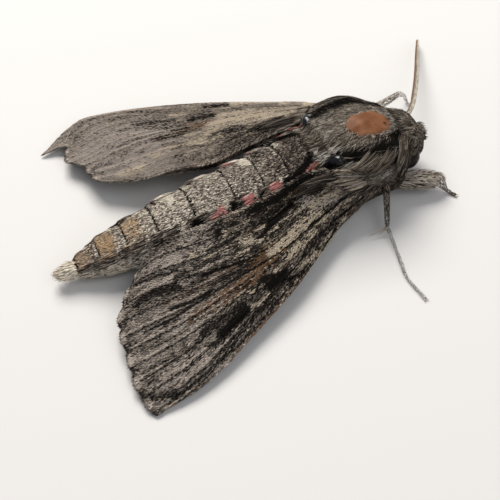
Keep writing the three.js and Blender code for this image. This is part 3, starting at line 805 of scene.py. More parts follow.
RIGHT_WING = WingForm(
    side=-1,
    front=(
        (17.6, -4.4, 4.3), (13.4, -5.9, 3.4), (7.7, -8.4, 2.7), (0.2, -13.3, 2.1),
        (-6.4, -16.7, 1.6), (-14.5, -20.4, 0.9), (-20.9, -21.5, 0.3),
    ),
    rear=(
        (13.6, -4.6, 7.2), (9.6, -3.7, 8.2), (6.0, -3.0, 8.2), (0.9, -3.7, 7.4),
        (-6.3, -3.8, 6.5), (-12.7, -3.4, 5.4), (-15.5, -4.1, 3.7),
    ),
    margin=(
        (-20.9, -21.5, 0.3), (-21.6, -18.2, 1.0), (-21.2, -14.0, 1.5), (-20.6, -9.6, 2.1),
        (-18.4, -6.4, 2.8), (-15.5, -4.1, 3.7),
    ),
    pattern=((0.0, 1.0), (0.0, 1.0)),
)
LEFT_WING = WingForm(
    side=1,
    front=(
        (17.6, 6.0, 4.8), (13.9, 10.2, 4.9), (6.0, 16.1, 3.6), (-3.8, 21.1, 2.5),
        (-11.5, 23.9, 1.6), (-14.6, 24.4, 1.2), (-20.7, 21.4, 0.3),
    ),
    rear=(
        (13.6, 6.0, 7.0), (8.2, 6.0, 7.2), (1.0, 5.6, 6.7), (-2.6, 5.6, 6.0),
        (-7.2, 7.8, 4.6), (-11.4, 8.9, 3.5), (-15.6, 11.0, 2.8),
    ),
    margin=(
        (-20.7, 21.4, 0.3), (-17.4, 20.6, 1.2), (-18.2, 17.4, 1.8), (-16.6, 15.4, 2.2),
        (-16.2, 12.8, 2.6), (-15.6, 11.0, 2.8),
    ),
    pattern=((0.0, 0.3, 0.43, 1.0), (0.0, 0.08, 0.23, 1.0)),
    # Painted light: this wing faces the light, so its scales are painted paler and its dark marks weaker.
    painted_light_pale_share=2.9,
    painted_light_dark_share=0.45,
    pleat=0.03,
    scallop_depth=0.15,
    own=(
        Stroke(P, ((0.25, 0.28), (0.36, 0.31), (0.45, 0.36)), 0.9, 0.8, 0.6),
        Stroke(P, ((0.29, 0.39), (0.34, 0.39), (0.46, 0.385)), 0.5, 1.0, 0.4),
        Stroke(P, ((0.22, 0.66), (0.34, 0.65)), 0.9, 0.8, 0.6),
        Stroke(P, ((0.53, 0.66), (0.58, 0.67)), 0.6, 0.8, 0.4),
        Stroke(P, ((0.17, 0.52), (0.3, 0.52), (0.47, 0.5)), 0.9, 0.75, 0.6),
        Stroke(P, ((0.16, 0.8), (0.3, 0.8)), 0.9, 0.65, 0.6),
        Stroke(P, ((0.14, 0.93), (0.3, 0.93)), 0.6, 0.4, 0.5),
        Stroke(P, ((0.12, 0.0), (0.12, 0.14)), 0.7, 0.8, 0.4),
        Stroke(D, ((0.41, 0.06), (0.48, 0.07)), 0.4, 0.7, 0.3),
        Stroke(D, ((0.56, 0.38), (0.61, 0.4)), 0.4, 0.75, 0.3),
        Stroke(D, ((0.58, 0.51), (0.63, 0.53), (0.7, 0.55)), 0.4, 0.75, 0.3),
        Stroke(D, ((0.56, 0.28), (0.72, 0.26)), 0.5, 0.5, 0.4),
        Stroke(D, ((0.57, 0.34), (0.67, 0.31)), 0.7, 0.5, 0.5),
        Stroke(P, ((0.27, 0.4), (0.34, 0.4), (0.46, 0.39)), 0.45, 1.0, 0.3),
        Stroke(D, ((0.22, 0.01), (0.45, 0.015), (0.6, 0.01)), 0.4, 0.4, 0.3),
        Stroke(D, ((0.94, 0.64), (0.99, 0.72), (0.97, 0.82)), 0.5, 0.55, 0.4),
        Stroke(P, ((0.3, 0.44), (0.38, 0.46), (0.5, 0.45)), 0.7, 0.75, 0.5),
        Stroke(P, ((0.13, 0.35), (0.24, 0.45)), 1.2, 0.6, 0.8),
        Stroke(P, ((0.14, 0.2), (0.3, 0.18)), 0.8, 0.4, 0.6),
        Stroke(P, ((0.5, 0.6), (0.58, 0.62)), 0.6, 0.5, 0.6),
        Stroke(P, ((0.8, 0.86), (0.9, 0.9)), 0.7, 0.7, 0.4),
        Stroke(D, ((0.46, 0.22), (0.54, 0.24)), 0.7, 0.85, 0.5),
        Stroke(D, ((0.6, 0.22), (0.73, 0.2)), 0.6, 0.75, 0.6),
        Stroke(D, ((0.38, 0.56), (0.5, 0.62)), 0.4, 0.6, 0.4),
        Stroke(D, ((0.3, 0.76), (0.44, 0.8)), 0.3, 0.7, 0.3),
        Stroke(O, ((0.52, 0.37), (0.6, 0.42), (0.7, 0.47)), 1.3, 0.72, 1.1),
        Stroke(D, ((0.54, 0.43), (0.64, 0.49), (0.72, 0.53)), 0.16, 0.95, 0.2),
        # Painted shadow: a thin dark line where the notch between the margin's lobes lies in shade.
        Stroke(D, ((0.9, 0.68), (0.99, 0.7)), 0.1, 0.7, 0.15),
        Stroke(A, ((0.66, 0.3), (0.96, 0.4)), 3.6, 0.8, 2.0),
        Stroke(A, ((0.72, 0.62), (0.96, 0.7)), 2.0, 0.8, 1.5),
    ),
)


@dataclass(frozen=True)
class HindwingForm:
    """A hindwing, tucked under its forewing's rear half."""

    over: WingForm

    def place(self, u: Array, v: Array, lift: float | Array = 0.0) -> Array:
        """Give a point over the hindwing's upper skin."""
        reach = 0.6 + 0.14 * v - 0.05 * np.sin(math.pi * v)
        p = self.over.flat_point(0.06 + (reach - 0.06) * u, 0.42 + 0.58 * v)
        pleat = 0.1 * np.sin(2 * math.pi * 7 * v) * smooth(0.1, 0.7, u)
        p[..., 2] = np.maximum(p[..., 2] - 0.86 + pleat + lift, 0.05)
        return p

    def marks(self, u: Array, v: Array) -> Array:
        """Give the marks: smoky brown with two dark bands."""
        marks = np.zeros(u.shape + (4,))
        noise = Mottle(41).rough(u * 20, v * 9)
        marks[..., 0] = np.clip(bell(u - 0.45, 0.07) + bell(u - 0.72, 0.08) + 0.25 * noise, 0, 0.85)
        marks[..., 1] = np.clip(0.3 * smooth(0.85, 1.0, u) + 0.2 * noise, 0, 1)
        return marks

    def lie(self, v: Array) -> Array:
        """Give how far v drifts for each unit of u along the scales."""
        return np.full(v.shape, 0.2)

    @property
    def side(self) -> int:
        """Give the side of the body, 1 for left and -1 for right."""
        return self.over.side


def wing_unwrap(u: Array, v: Array) -> Array:
    """Give the place on a wing's own unwrap."""
    return np.stack([0.02 + 0.96 * u, 0.02 + 0.42 * v], -1)


# ---- Limbs ---------------------------------------------------------------------------------


@dataclass(frozen=True)
class TubeForm:
    """A tapered tube along a smooth curve, with its half thickness at each point."""

    points: tuple[tuple[float, float, float], ...]
    radii: tuple[float, ...]
    shares: tuple[float, ...] | None = None
    ring_pitch: float = 0.0
    ring_depth: float = 0.0

    def radius(self, t: Array) -> Array:
        """Give the half thickness at shares of the length."""
        shares = self.shares or tuple(np.linspace(0, 1, len(self.radii)))
        r = np.interp(t, shares, self.radii)
        if self.ring_pitch:
            length = self.length()
            r = r * (1 - self.ring_depth * np.abs(np.sin(math.pi * t * length / self.ring_pitch)) ** 6)
        return r

    def length(self) -> float:
        """Give the curve's length in millimetres."""
        _, pts = Rail(self.points).table()
        return float(np.linalg.norm(np.diff(pts, axis=0), axis=1).sum())

    def place(self, t: Array, angle: Array, lift: float | Array = 0.0) -> Array:
        """Give a point round the tube; angle 0 faces up."""
        rail = Rail(self.points)
        tc = np.clip(t, 0.0, 1.0)
        along = unit(rail.at(np.minimum(tc + 0.012, 1)) - rail.at(np.maximum(tc - 0.012, 0)))
        side = unit(np.cross(np.array([0.0, 0.0, 1.0]), along))
        up = np.cross(along, side)
        cap = rounded(np.minimum(tc, 1 - tc) * self.length() / np.maximum(self.radius(tc), 0.05))
        reach = (self.radius(tc) * cap + lift)[..., None]
        p = rail.at(tc) + side * np.sin(angle)[..., None] * reach + up * np.cos(angle)[..., None] * reach
        p = p + along * ((t - tc) * self.length())[..., None]
        p[..., 2] = np.maximum(p[..., 2], OVER_FLOOR)
        return p

    def outward(self, t: Array, angle: Array) -> Array:
        """Give the direction away from the tube's middle line."""
        return unit(self.place(t, angle) - self.place(t, angle + math.pi))

    def unwrap(self, t: Array, angle: Array) -> Array:
        """Give the place on the tube's own unwrap."""
        return np.stack([0.02 + 0.96 * np.clip(t, 0, 1), 0.7 + 0.1 * (angle / (2 * math.pi) + 0.5)], -1)


Point = tuple[float, float, float]


@dataclass(frozen=True)
class LegForm:
    """One leg: hip, knee, ankle and three places along the foot, with the solids' radii there."""

    name: str
    path: tuple[Point, ...]
    radii: tuple[float, ...]
    shag: float = 0.1

    def tube(self) -> TubeForm:
        """Give the leg's skin, waisted at its joints and along the foot."""
        hip, knee, ankle, *foot = (np.array(p) for p in self.path)
        r0, r1, r2, *rf = self.radii
        keep = 0.78
        stops = [
            (hip, r0 * 0.6), (hip * 0.8 + knee * 0.2, r0 * keep), (hip * 0.2 + knee * 0.8, r1 * keep),
            (knee, r1 * 0.62), (knee * 0.8 + ankle * 0.2, r1 * keep), (knee * 0.15 + ankle * 0.85, r2 * keep),
            (ankle, r2 * 0.6), (ankle * 0.75 + foot[0] * 0.25, r2 * 0.66), (foot[0], rf[0] * 0.62),
            ((foot[0] + foot[1]) / 2, rf[1] * 0.85), (foot[1], rf[1] * 0.66), (foot[2], rf[2] * 0.8),
        ]
        points = tuple(tuple(float(c) for c in p) for p, _ in stops)
        run = np.concatenate([[0], np.cumsum([math.dist(a, b) for a, b in zip(points, points[1:])])])
        shares = tuple(float(s) for s in run / run[-1])
        return TubeForm(points, tuple(r for _, r in stops), shares)


SLIM = (0.75, 0.5, 0.38, 0.32, 0.28, 0.26)
HIND = (0.75, 0.65, 0.45, 0.36, 0.3, 0.26)
LEGS: tuple[LegForm, ...] = (
    LegForm("foreleg_right", ((17.6, -1.6, 1.5), (19.1, -4.2, 2.6), (24.1, -5.7, 1.75), (24.9, -6.8, 0.5),
                              (25.3, -7.35, 0.26), (25.7, -7.9, 0.26)),
            (0.8, 1.25, 1.05, 0.36, 0.3, 0.26), 1.0),
    LegForm("foreleg_left", ((17.8, 2.6, 1.5), (21.0, 7.7, 3.2), (27.2, 9.8, 2.45), (28.4, 10.15, 1.3),
                             (28.75, 9.9, 0.26), (28.8, 8.8, 0.26)), (0.8, 0.7, 0.5, 0.32, 0.28, 0.26), 0.12),
    LegForm("midleg_right", ((15.4, -2.6, 1.2), (16.7, -4.9, 3.3), (14.45, -9.5, 1.25), (14.0, -12.6, 0.5),
                             (13.15, -16.8, 0.28), (13.6, -20.4, 0.26)), SLIM),
    LegForm("midleg_left", ((15.6, 4.4, 1.1), (15.0, 8.4, 3.0), (11.6, 11.6, 1.2), (9.4, 12.8, 0.45),
                            (5.6, 13.6, 0.28), (2.2, 14.6, 0.26)), SLIM),
    LegForm("hindleg_right", ((12.4, -2.6, 1.0), (9.4, -6.2, 2.3), (2.6, -8.8, 0.8), (-0.6, -10.0, 0.4),
                              (-4.0, -11.4, 0.28), (-7.0, -13.2, 0.26)), HIND),
    LegForm("hindleg_left", ((12.4, 5.2, 1.0), (9.0, 8.6, 2.3), (2.4, 11.4, 0.8), (-0.8, 12.6, 0.4),
                             (-4.6, 13.6, 0.28), (-7.8, 15.0, 0.26)), HIND),
)


# ---- Mesh building -------------------------------------------------------------------------


@dataclass
class Fields:
    """What every vertex of a skin or blade carries to its material."""

    marks: Array
    lock: Array
    uv: Array
    extra: Array
    horn: Array | None = None

    def write(self, mesh: bpy.types.Mesh) -> None:
        """Store the fields as attributes and as the UV map of the unwrap."""
        colour = mesh.attributes.new("marks", "FLOAT_COLOR", "POINT")
        colour.data.foreach_set("color", self.marks.astype(np.float32).ravel())
        for name, rows in (("lock", self.lock), ("extra", self.extra), ("horn", self.horn)):
            if rows is not None:
                layer = mesh.attributes.new(name, "FLOAT_VECTOR", "POINT")
                layer.data.foreach_set("vector", rows.astype(np.float32).ravel())
        corners = np.empty(len(mesh.loops), np.int32)
        mesh.loops.foreach_get("vertex_index", corners)
        layer = mesh.uv_layers.new(name="OFBake")
        layer.data.foreach_set("uv", self.uv[corners].astype(np.float32).ravel())


def linked(name: str, mesh: bpy.types.Mesh, material: bpy.types.Material) -> bpy.types.Object:
    """Put a mesh in the scene as one smooth-shaded object at the origin."""
    mesh.materials.clear()
    mesh.materials.append(material)
    mesh.shade_smooth()
    obj = bpy.data.objects.new(name, mesh)
    bpy.context.scene.collection.objects.link(obj)
    return obj


WELD, SLIVER = 2e-7, 1e-8  # metres


def mesh_of(name: str, bm: bmesh.types.BMesh) -> bpy.types.Mesh:
    """Turn an edit mesh into a mesh of the scene, and free it."""
    mesh = bpy.data.meshes.new(name)
    bm.to_mesh(mesh)
    bm.free()
    return mesh


def closed(mesh: bpy.types.Mesh) -> bpy.types.Mesh:
    """Weld a mesh's seam and poles and turn its faces outward."""
    bm = bmesh.new()
    bm.from_mesh(mesh)
    bmesh.ops.remove_doubles(bm, verts=bm.verts, dist=WELD)
    bmesh.ops.dissolve_degenerate(bm, edges=bm.edges, dist=SLIVER)
    bmesh.ops.recalc_face_normals(bm, faces=bm.faces)
    bm.to_mesh(mesh)
    bm.free()
    return mesh


def bent_grid(name: str, columns: int, rows: int,
              surface: Callable[[Array, Array], tuple[Array, Fields]]) -> bpy.types.Mesh:
    """Bend a flat grid to a surface.

    Args:
        name: The mesh's name.
        columns: Faces along the first coordinate.
        rows: Faces along the second.
        surface: Gives points in millimetres and their fields for coordinates from 0 to 1.

    Returns:
        The mesh, in metres, with its fields written.
    """
    bm = bmesh.new()
    bmesh.ops.create_grid(bm, x_segments=columns, y_segments=rows, size=0.5)
    mesh = mesh_of(name, bm)
    flat = np.empty(len(mesh.vertices) * 3, np.float32)
    mesh.vertices.foreach_get("co", flat)
    flat = flat.reshape(-1, 3)
    points, fields = surface(flat[:, 0].astype(float) + 0.5, flat[:, 1].astype(float) + 0.5)
    mesh.vertices.foreach_set("co", to_row(points).astype(np.float32).ravel())
    fields.write(mesh)
    mesh.update()
    return mesh


@dataclass
class Blades:
    """Thin three-sided blades joined into one coat piece, rings of three corners and a tip."""

    name: str
    stations: tuple[float, ...]
    shape: tuple[float, ...]
    batches: list[tuple[Array, ...]] = field(default_factory=list)

    def grow(self, centre: Array, out: Array, width: float | Array, marks: Array, tint: Array, uv: Array,
             zone: float = 0.0) -> None:
        """Add blades.

        Args:
            centre: Centre lines in millimetres, one row of stations for each blade.
            out: The direction away from the skin at each root.
            width: Widths in millimetres.
            marks: Each blade's markings.
            tint: Each blade's own shade, from 0 to 1.
            uv: Each root's place on the skin's unwrap.
            zone: Which set of colours the blades take.
        """
        along = unit(centre[:, -1] - centre[:, 0])
        side = unit(np.cross(along, out))
        half = np.broadcast_to(width, tint.shape) / 2
        zones = np.full(tint.shape, zone)
        self.batches.append((centre, side, unit(np.cross(side, along)), half, marks, tint, zones, uv))

    def finish(self, material: bpy.types.Material) -> bpy.types.Object:
        """Join all blades into one object."""
        centre, side, out, half, marks, tints, zones, uvs = (np.concatenate(a) for a in zip(*self.batches))
        n, rings = len(centre), len(self.stations) - 1
        size = 3 * rings + 1
        points = np.empty((n, size, 3))
        for k in range(rings):
            w = half[:, None] * self.shape[k]
            points[:, 3 * k] = centre[:, k] - side * w
            points[:, 3 * k + 1] = centre[:, k] + side * w
            points[:, 3 * k + 2] = centre[:, k] + out * w * BLADE_RIDGE
        points[:, -1] = centre[:, -1]
        points[..., 2] = np.maximum(points[..., 2], OVER_FLOOR)
        faces = [(0, 1, 2)]
        for k in range(0, 3 * rings - 3, 3):
            for a, b in ((k, k + 1), (k + 1, k + 2), (k + 2, k)):
                faces += [(a, a + 3, b + 3), (a, b + 3, b)]
        last = 3 * rings - 3
        faces += [(last, size - 1, last + 1), (last + 1, size - 1, last + 2), (last + 2, size - 1, last)]
        corners = (np.array(faces)[None] + (np.arange(n) * size)[:, None, None]).reshape(-1)
        mesh = bpy.data.meshes.new(self.name)
        mesh.vertices.add(n * size)
        mesh.vertices.foreach_set("co", to_row(points).astype(np.float32).ravel())
        mesh.loops.add(len(corners))
        mesh.loops.foreach_set("vertex_index", corners.astype(np.int32))
        mesh.polygons.add(len(corners) // 3)
        mesh.polygons.foreach_set("loop_start", np.arange(0, len(corners), 3, dtype=np.int32))
        mesh.update(calc_edges=True)
        step = np.array([s for s in self.stations[:-1] for _ in range(3)] + [self.stations[-1]])
        beside = np.array([-1.0, 1.0, 0.0] * rings + [0.0])
        marks, tints, zones, uvs = (np.repeat(a, size, axis=0) for a in (marks, tints, zones, uvs))
        uv = uvs + BLADE_UNWRAP * np.stack([np.tile(2 * step - 1, n), np.tile(beside, n)], -1)
        lock = np.stack([np.tile(step, n), tints, zones], -1)
        Fields(marks, lock, uv, np.zeros((n * size, 3))).write(mesh)
        LOG.info("%s: %d blades, %d triangles", self.name, n, len(corners) // 3)
        return linked(self.name, mesh, material)


HAIR = ((0.0, 0.35, 0.72, 1.0), (0.7, 1.0, 0.72, 0.0))
LONG_HAIR = ((0.0, 0.25, 0.5, 0.78, 1.0), (0.7, 1.0, 0.95, 0.6, 0.0))
FLAKE = ((0.0, 0.62, 1.0), (0.7, 1.0, 0.0))


EVEN_STEPS = (0.7548776662466927, 0.5698402909980532)  # steps that fill the unit square evenly


def spots(count: int, phase: float) -> tuple[Array, Array]:
    """Give evenly scattered places in the unit square."""
    i = np.arange(count)
    return (phase + i * EVEN_STEPS[0]) % 1.0, (phase * 1.7 + i * EVEN_STEPS[1]) % 1.0


def salted(rng: np.random.Generator, count: int, light: float | Array) -> Array:
    """Draw each blade's own shade from 0 to 1, so that its mean is light and most are darker."""
    return rng.random(count) ** (1 / np.clip(light, 0.05, 0.9) - 1)


def picked(marks: Array, draw: Array) -> Array:
    """Turn soft marks into mostly one colour or another for each blade."""
    return smooth(-0.12, 0.12, marks - draw[:, None] * 0.86 - 0.07)


# ---- Materials -----------------------------------------------------------------------------


Colour = tuple[float, float, float]


class Shader:
    """Adds nodes to a material or group and links them."""

    def __init__(self, tree: bpy.types.NodeTree) -> None:
        """Start on an empty tree."""
        self.tree = tree
        tree.nodes.clear()

    def add(self, kind: str, **settings: object) -> bpy.types.Node:
        """Add one node with its settings."""
        node = self.tree.nodes.new(kind)
        for key, value in settings.items():
            setattr(node, key, value)
        return node

    def feed(self, source: bpy.types.NodeSocket | float | Colour, target: bpy.types.NodeSocket) -> None:
        """Link a socket, or set a plain value."""
        if isinstance(source, bpy.types.NodeSocket):
            self.tree.links.new(source, target)
        elif isinstance(source, tuple):
            target.default_value = (*source, 1.0)
        else:
            target.default_value = source

    def math(self, operation: str, a: object, b: object = 0.0, clamp: bool = False) -> bpy.types.NodeSocket:
        """Add a Math node."""
        node = self.add("ShaderNodeMath", operation=operation, use_clamp=clamp)
        self.feed(a, node.inputs[0])
        self.feed(b, node.inputs[1])
        return node.outputs[0]

    def mix(self, share: object, a: object, b: object, blend: str = "MIX") -> bpy.types.NodeSocket:
        """Add a colour Mix node."""
        node = self.add("ShaderNodeMix", data_type="RGBA", blend_type=blend)
        self.feed(share, node.inputs["Factor"])
        self.feed(a, node.inputs[6])
        self.feed(b, node.inputs[7])
        return node.outputs[2]

    def ramp(self, value: object, low: float, high: float, to_low: float = 0.0,
             to_high: float = 1.0) -> bpy.types.NodeSocket:
        """Add a smooth Map Range node."""
        node = self.add("ShaderNodeMapRange", interpolation_type="SMOOTHSTEP")
        sockets = ("Value", "From Min", "From Max", "To Min", "To Max")
        for key, item in zip(sockets, (value, low, high, to_low, to_high)):
            self.feed(item, node.inputs[key])
        return node.outputs["Result"]

    def noise(self, vector: object, scale: float, detail: float = 2.0) -> bpy.types.NodeSocket:
        """Add a Noise Texture node."""
        node = self.add("ShaderNodeTexNoise")
        self.feed(vector, node.inputs["Vector"])
        node.inputs["Scale"].default_value = scale
        node.inputs["Detail"].default_value = detail
        return node.outputs["Fac"]

    def place(self) -> bpy.types.NodeSocket:
        """Add the places on the piece's own axes."""
        return self.add("ShaderNodeTexCoord").outputs["Object"]

    def bump(self, strength: float, distance: float, height: object, skin: bpy.types.Node) -> None:
        """Roughen a surface by a height, with the distance in metres."""
        node = self.add("ShaderNodeBump")
        for key, item in (("Strength", strength), ("Distance", distance), ("Height", height)):
            self.feed(item, node.inputs[key])
        self.feed(node.outputs["Normal"], skin.inputs["Normal"])

    def attribute(self, name: str) -> bpy.types.Node:
        """Add a node that reads a stored field."""
        return self.add("ShaderNodeAttribute", attribute_name=name, attribute_type="GEOMETRY")


def group_of(name: str, ins: dict[str, str],
             outs: dict[str, str]) -> tuple[bpy.types.NodeTree, Shader, object, object]:
    """Start a node group with named inputs and outputs."""
    tree = bpy.data.node_groups.new(name, "ShaderNodeTree")
    for label, kind in ins.items():
        tree.interface.new_socket(label, in_out="INPUT", socket_type=kind)
    for label, kind in outs.items():
        tree.interface.new_socket(label, in_out="OUTPUT", socket_type=kind)
    shader = Shader(tree)
    return tree, shader, shader.add("NodeGroupInput"), shader.add("NodeGroupOutput")


@dataclass(frozen=True)
class Tones:
    """The colours of one part of the coat."""

    low: Colour
    high: Colour
    dark: Colour
    pale: Colour
    ochre: Colour
    accent: Colour


def tone_group() -> bpy.types.NodeTree:
    """Make the group that turns marks and a blade's own tint into colour, with painted shade that darkens
    each blade towards its root.
    """
    kinds = {k: "NodeSocketColor" for k in ("Low", "High", "Dark", "Pale", "Ochre", "Accent")}
    kinds |= {k: "NodeSocketFloat" for k in ("Speckle", "Tint", "Along")}
    tree, s, given, result = group_of("CoatTones", kinds, {"Color": "NodeSocketColor"})
    marks = s.attribute("marks")
    parts = s.add("ShaderNodeSeparateColor")
    s.feed(marks.outputs["Color"], parts.inputs[0])
    swing = s.math("SUBTRACT", given.outputs["Speckle"], 0.5)

    def sharpened(mask: bpy.types.NodeSocket) -> bpy.types.NodeSocket:
        """Break a soft mask up into specks."""
        middle = s.math("MULTIPLY", s.math("MULTIPLY", mask, s.math("SUBTRACT", 1.0, mask)), 5.0)
        return s.math("ADD", mask, s.math("MULTIPLY", swing, middle), clamp=True)

    colour = s.mix(given.outputs["Tint"], given.outputs["Low"], given.outputs["High"])
    colour = s.mix(sharpened(parts.outputs[2]), colour, given.outputs["Ochre"])
    colour = s.mix(sharpened(marks.outputs["Alpha"]), colour, given.outputs["Accent"])
    colour = s.mix(sharpened(parts.outputs[1]), colour, given.outputs["Pale"])
    colour = s.mix(sharpened(parts.outputs[0]), colour, given.outputs["Dark"])
    # Painted shade towards each blade's root and painted light towards its tip.
    shade = s.ramp(given.outputs["Along"], 0.0, 0.8, 0.62, 1.12)
    bright = s.add("ShaderNodeHueSaturation")
    s.feed(shade, bright.inputs["Value"])
    s.feed(colour, bright.inputs["Color"])
    s.feed(bright.outputs["Color"], result.inputs["Color"])
    return tree


def grain_group() -> bpy.types.NodeTree:
    """Make the group that gives short lying fur as a mask and as a height."""
    tree, s, given, result = group_of("LyingFur", {"Fineness": "NodeSocketFloat"},
                                      {"Speck": "NodeSocketFloat", "Height": "NodeSocketFloat"})
    extra = s.attribute("extra")
    scaled = s.add("ShaderNodeVectorMath", operation="SCALE")
    s.feed(extra.outputs["Vector"], scaled.inputs[0])
    s.feed(given.outputs["Fineness"], scaled.inputs["Scale"])
    long = s.add("ShaderNodeMapping")
    s.feed(scaled.outputs[0], long.inputs["Vector"])
    long.inputs["Scale"].default_value = (2.9, 9.0, 1.0)
    fine = s.noise(long.outputs[0], 1.0, 3.0)
    cloud = s.noise(s.place(), 2600.0, 3.0)
    weighed = (s.math("MULTIPLY", fine, 0.55), s.math("MULTIPLY", cloud, 0.45))
    s.feed(s.math("ADD", *weighed), result.inputs["Speck"])
    s.feed(fine, result.inputs["Height"])
    return tree


THORAX_TONES = Tones((0.012, 0.009, 0.007), (0.305, 0.256, 0.202), (0.005, 0.004, 0.003),
                     (0.400, 0.370, 0.325), (0.220, 0.160, 0.095), (0.200, 0.040, 0.032))
ABDOMEN_TONES = Tones((0.022, 0.015, 0.011), (0.350, 0.290, 0.238), (0.005, 0.004, 0.003),
                      (0.640, 0.570, 0.460), (0.385, 0.255, 0.140), (0.480, 0.190, 0.170))
WING_TONES = Tones((0.011, 0.008, 0.006), (0.255, 0.212, 0.172), (0.005, 0.004, 0.003),
                   (0.440, 0.365, 0.270), (0.125, 0.070, 0.036), (0.340, 0.290, 0.248))
LEG_TONES = Tones((0.030, 0.021, 0.015), (0.235, 0.188, 0.145), (0.012, 0.009, 0.007),
                  (0.400, 0.350, 0.290), (0.200, 0.135, 0.085), (0.300, 0.250, 0.200))
FEELER_TONES = Tones((0.180, 0.145, 0.110), (0.430, 0.380, 0.305), (0.040, 0.030, 0.023),
                     (0.540, 0.490, 0.400), (0.190, 0.115, 0.075), (0.300, 0.250, 0.200))


@dataclass(frozen=True)
class Finish:
    """A material with one surface node; each kind of finish fills it in."""

    name: str

    def fill(self, s: Shader, skin: bpy.types.Node) -> None:
        """Add the nodes that feed the surface node."""

    def make(self) -> bpy.types.Material:
        """Make the material."""
        material = bpy.data.materials.new(self.name)
        material.use_nodes = True
        s = Shader(material.node_tree)
        skin = s.add("ShaderNodeBsdfPrincipled")
        self.fill(s, skin)
        s.feed(skin.outputs[0], s.add("ShaderNodeOutputMaterial").inputs["Surface"])
        return material


@dataclass(frozen=True)
class CoatFinish(Finish):
    """A matt scaly coat, for skins and for the blades over them."""

    tones: Tones
    groups: dict[str, bpy.types.NodeTree]
    on_skin: bool = False
    second: Tones | None = None
    fineness: float = 1.0
    gloss: float = 0.04
    roughness: float = 0.7

    def toned(self, s: Shader, tones: Tones, speck: object, tint: object,
              along: object) -> bpy.types.NodeSocket:
        """Add the tone group with one set of colours."""
        node = s.add("ShaderNodeGroup", node_tree=self.groups["tones"])
        for label in ("Low", "High", "Dark", "Pale", "Ochre", "Accent"):
            s.feed(getattr(tones, label.lower()), node.inputs[label])
        for label, value in (("Speckle", speck), ("Tint", tint), ("Along", along)):
            s.feed(value, node.inputs[label])
        return node.outputs["Color"]

    def fill(self, s: Shader, skin: bpy.types.Node) -> None:
        """Add the coat's colours, and on a skin its fine hairs and naked horn."""
        skin.inputs["Roughness"].default_value = self.roughness
        skin.inputs["Specular IOR Level"].default_value = self.gloss
        lock = s.add("ShaderNodeSeparateXYZ")
        s.feed(s.attribute("lock").outputs["Vector"], lock.inputs[0])
        speck, tint, along = 0.5, lock.outputs["Y"], lock.outputs["X"]
        if self.on_skin:
            fur = s.add("ShaderNodeGroup", node_tree=self.groups["fur"])
            fur.inputs["Fineness"].default_value = self.fineness
            speck, tint = fur.outputs["Speck"], s.ramp(fur.outputs["Speck"], 0.42, 0.60)
            s.bump(0.55, 0.08 * MM, fur.outputs["Height"], skin)
        colour = self.toned(s, self.tones, speck, tint, along)
        if self.second:
            colour = s.mix(lock.outputs["Z"], colour, self.toned(s, self.second, speck, tint, along))
        s.feed(colour, skin.inputs["Base Color"])
        if self.on_skin and self.second:
            self.lay_horn(s, skin, colour)

    def lay_horn(self, s: Shader, skin: bpy.types.Node, colour: bpy.types.NodeSocket) -> None:
        """Add the naked horn of the worn patch and the glossy domes behind the thorax."""
        place = s.place()
        bare = s.add("ShaderNodeSeparateXYZ")
        s.feed(s.attribute("horn").outputs["Vector"], bare.inputs[0])
        patchy = s.noise(place, 620.0, 4.0)
        fine = s.noise(place, 5200.0, 2.0)
        horn = s.mix(s.ramp(patchy, 0.35, 0.68), (0.108, 0.042, 0.018), (0.152, 0.067, 0.032))
        horn = s.mix(s.ramp(fine, 0.62, 0.72), horn, (0.075, 0.032, 0.017))
        edged = s.mix(bare.outputs["Z"], horn, (0.022, 0.012, 0.008))
        colour = s.mix(bare.outputs["X"], colour, edged)
        colour = s.mix(bare.outputs["Y"], colour, (0.003, 0.003, 0.004))
        s.feed(colour, skin.inputs["Base Color"])
        naked = s.math("MAXIMUM", bare.outputs["X"], bare.outputs["Y"])
        rough = s.ramp(naked, 0.3, 0.8, self.roughness, 0.4)
        rough = s.math("SUBTRACT", rough, s.math("MULTIPLY", bare.outputs["Y"], 0.25))
        s.feed(s.math("ADD", rough, s.math("MULTIPLY", patchy, 0.1)), skin.inputs["Roughness"])
        varnish = (s.math("MULTIPLY", naked, 0.03), s.math("MULTIPLY", bare.outputs["Y"], 0.5))
        s.feed(s.math("ADD", *varnish), skin.inputs["Coat Weight"])
        skin.inputs["Coat Roughness"].default_value = 0.18


@dataclass(frozen=True)
class EyeFinish(Finish):
    """A dark glossy compound eye with fine facets."""

    name: str = "eye_gloss"

    def fill(self, s: Shader, skin: bpy.types.Node) -> None:
        """Add the dark colour, the facets and the gloss."""
        place = s.place()
        cells = s.add("ShaderNodeTexVoronoi", feature="F1")
        s.feed(place, cells.inputs["Vector"])
        cells.inputs["Scale"].default_value = 9500.0
        cloud = s.noise(place, 900.0, 2.0)
        shade = s.mix(s.ramp(cloud, 0.4, 0.7), (0.004, 0.003, 0.003), (0.016, 0.010, 0.008))
        s.feed(shade, skin.inputs["Base Color"])
        s.bump(0.35, 0.012 * MM, cells.outputs["Distance"], skin)
        skin.inputs["Specular IOR Level"].default_value = 0.1
        s.feed(s.ramp(cells.outputs["Distance"], 0.0, 0.7, 0.18, 0.34), skin.inputs["Roughness"])
        s.feed(0.04, skin.inputs["Coat Weight"])
        skin.inputs["Coat Roughness"].default_value = 0.12


@dataclass(frozen=True)
class HornFinish(Finish):
    """Brown horn of claws and spurs."""

    name: str = "claw_horn"

    def fill(self, s: Shader, skin: bpy.types.Node) -> None:
        """Add the clouded brown and its polish."""
        cloud = s.noise(s.place(), 1500.0, 3.0)
        s.feed(s.mix(cloud, (0.16, 0.11, 0.075), (0.38, 0.31, 0.23)), skin.inputs["Base Color"])
        s.feed(s.ramp(cloud, 0.3, 0.7, 0.3, 0.5), skin.inputs["Roughness"])


# ---- Sub-assemblies ------------------------------------------------------------------------


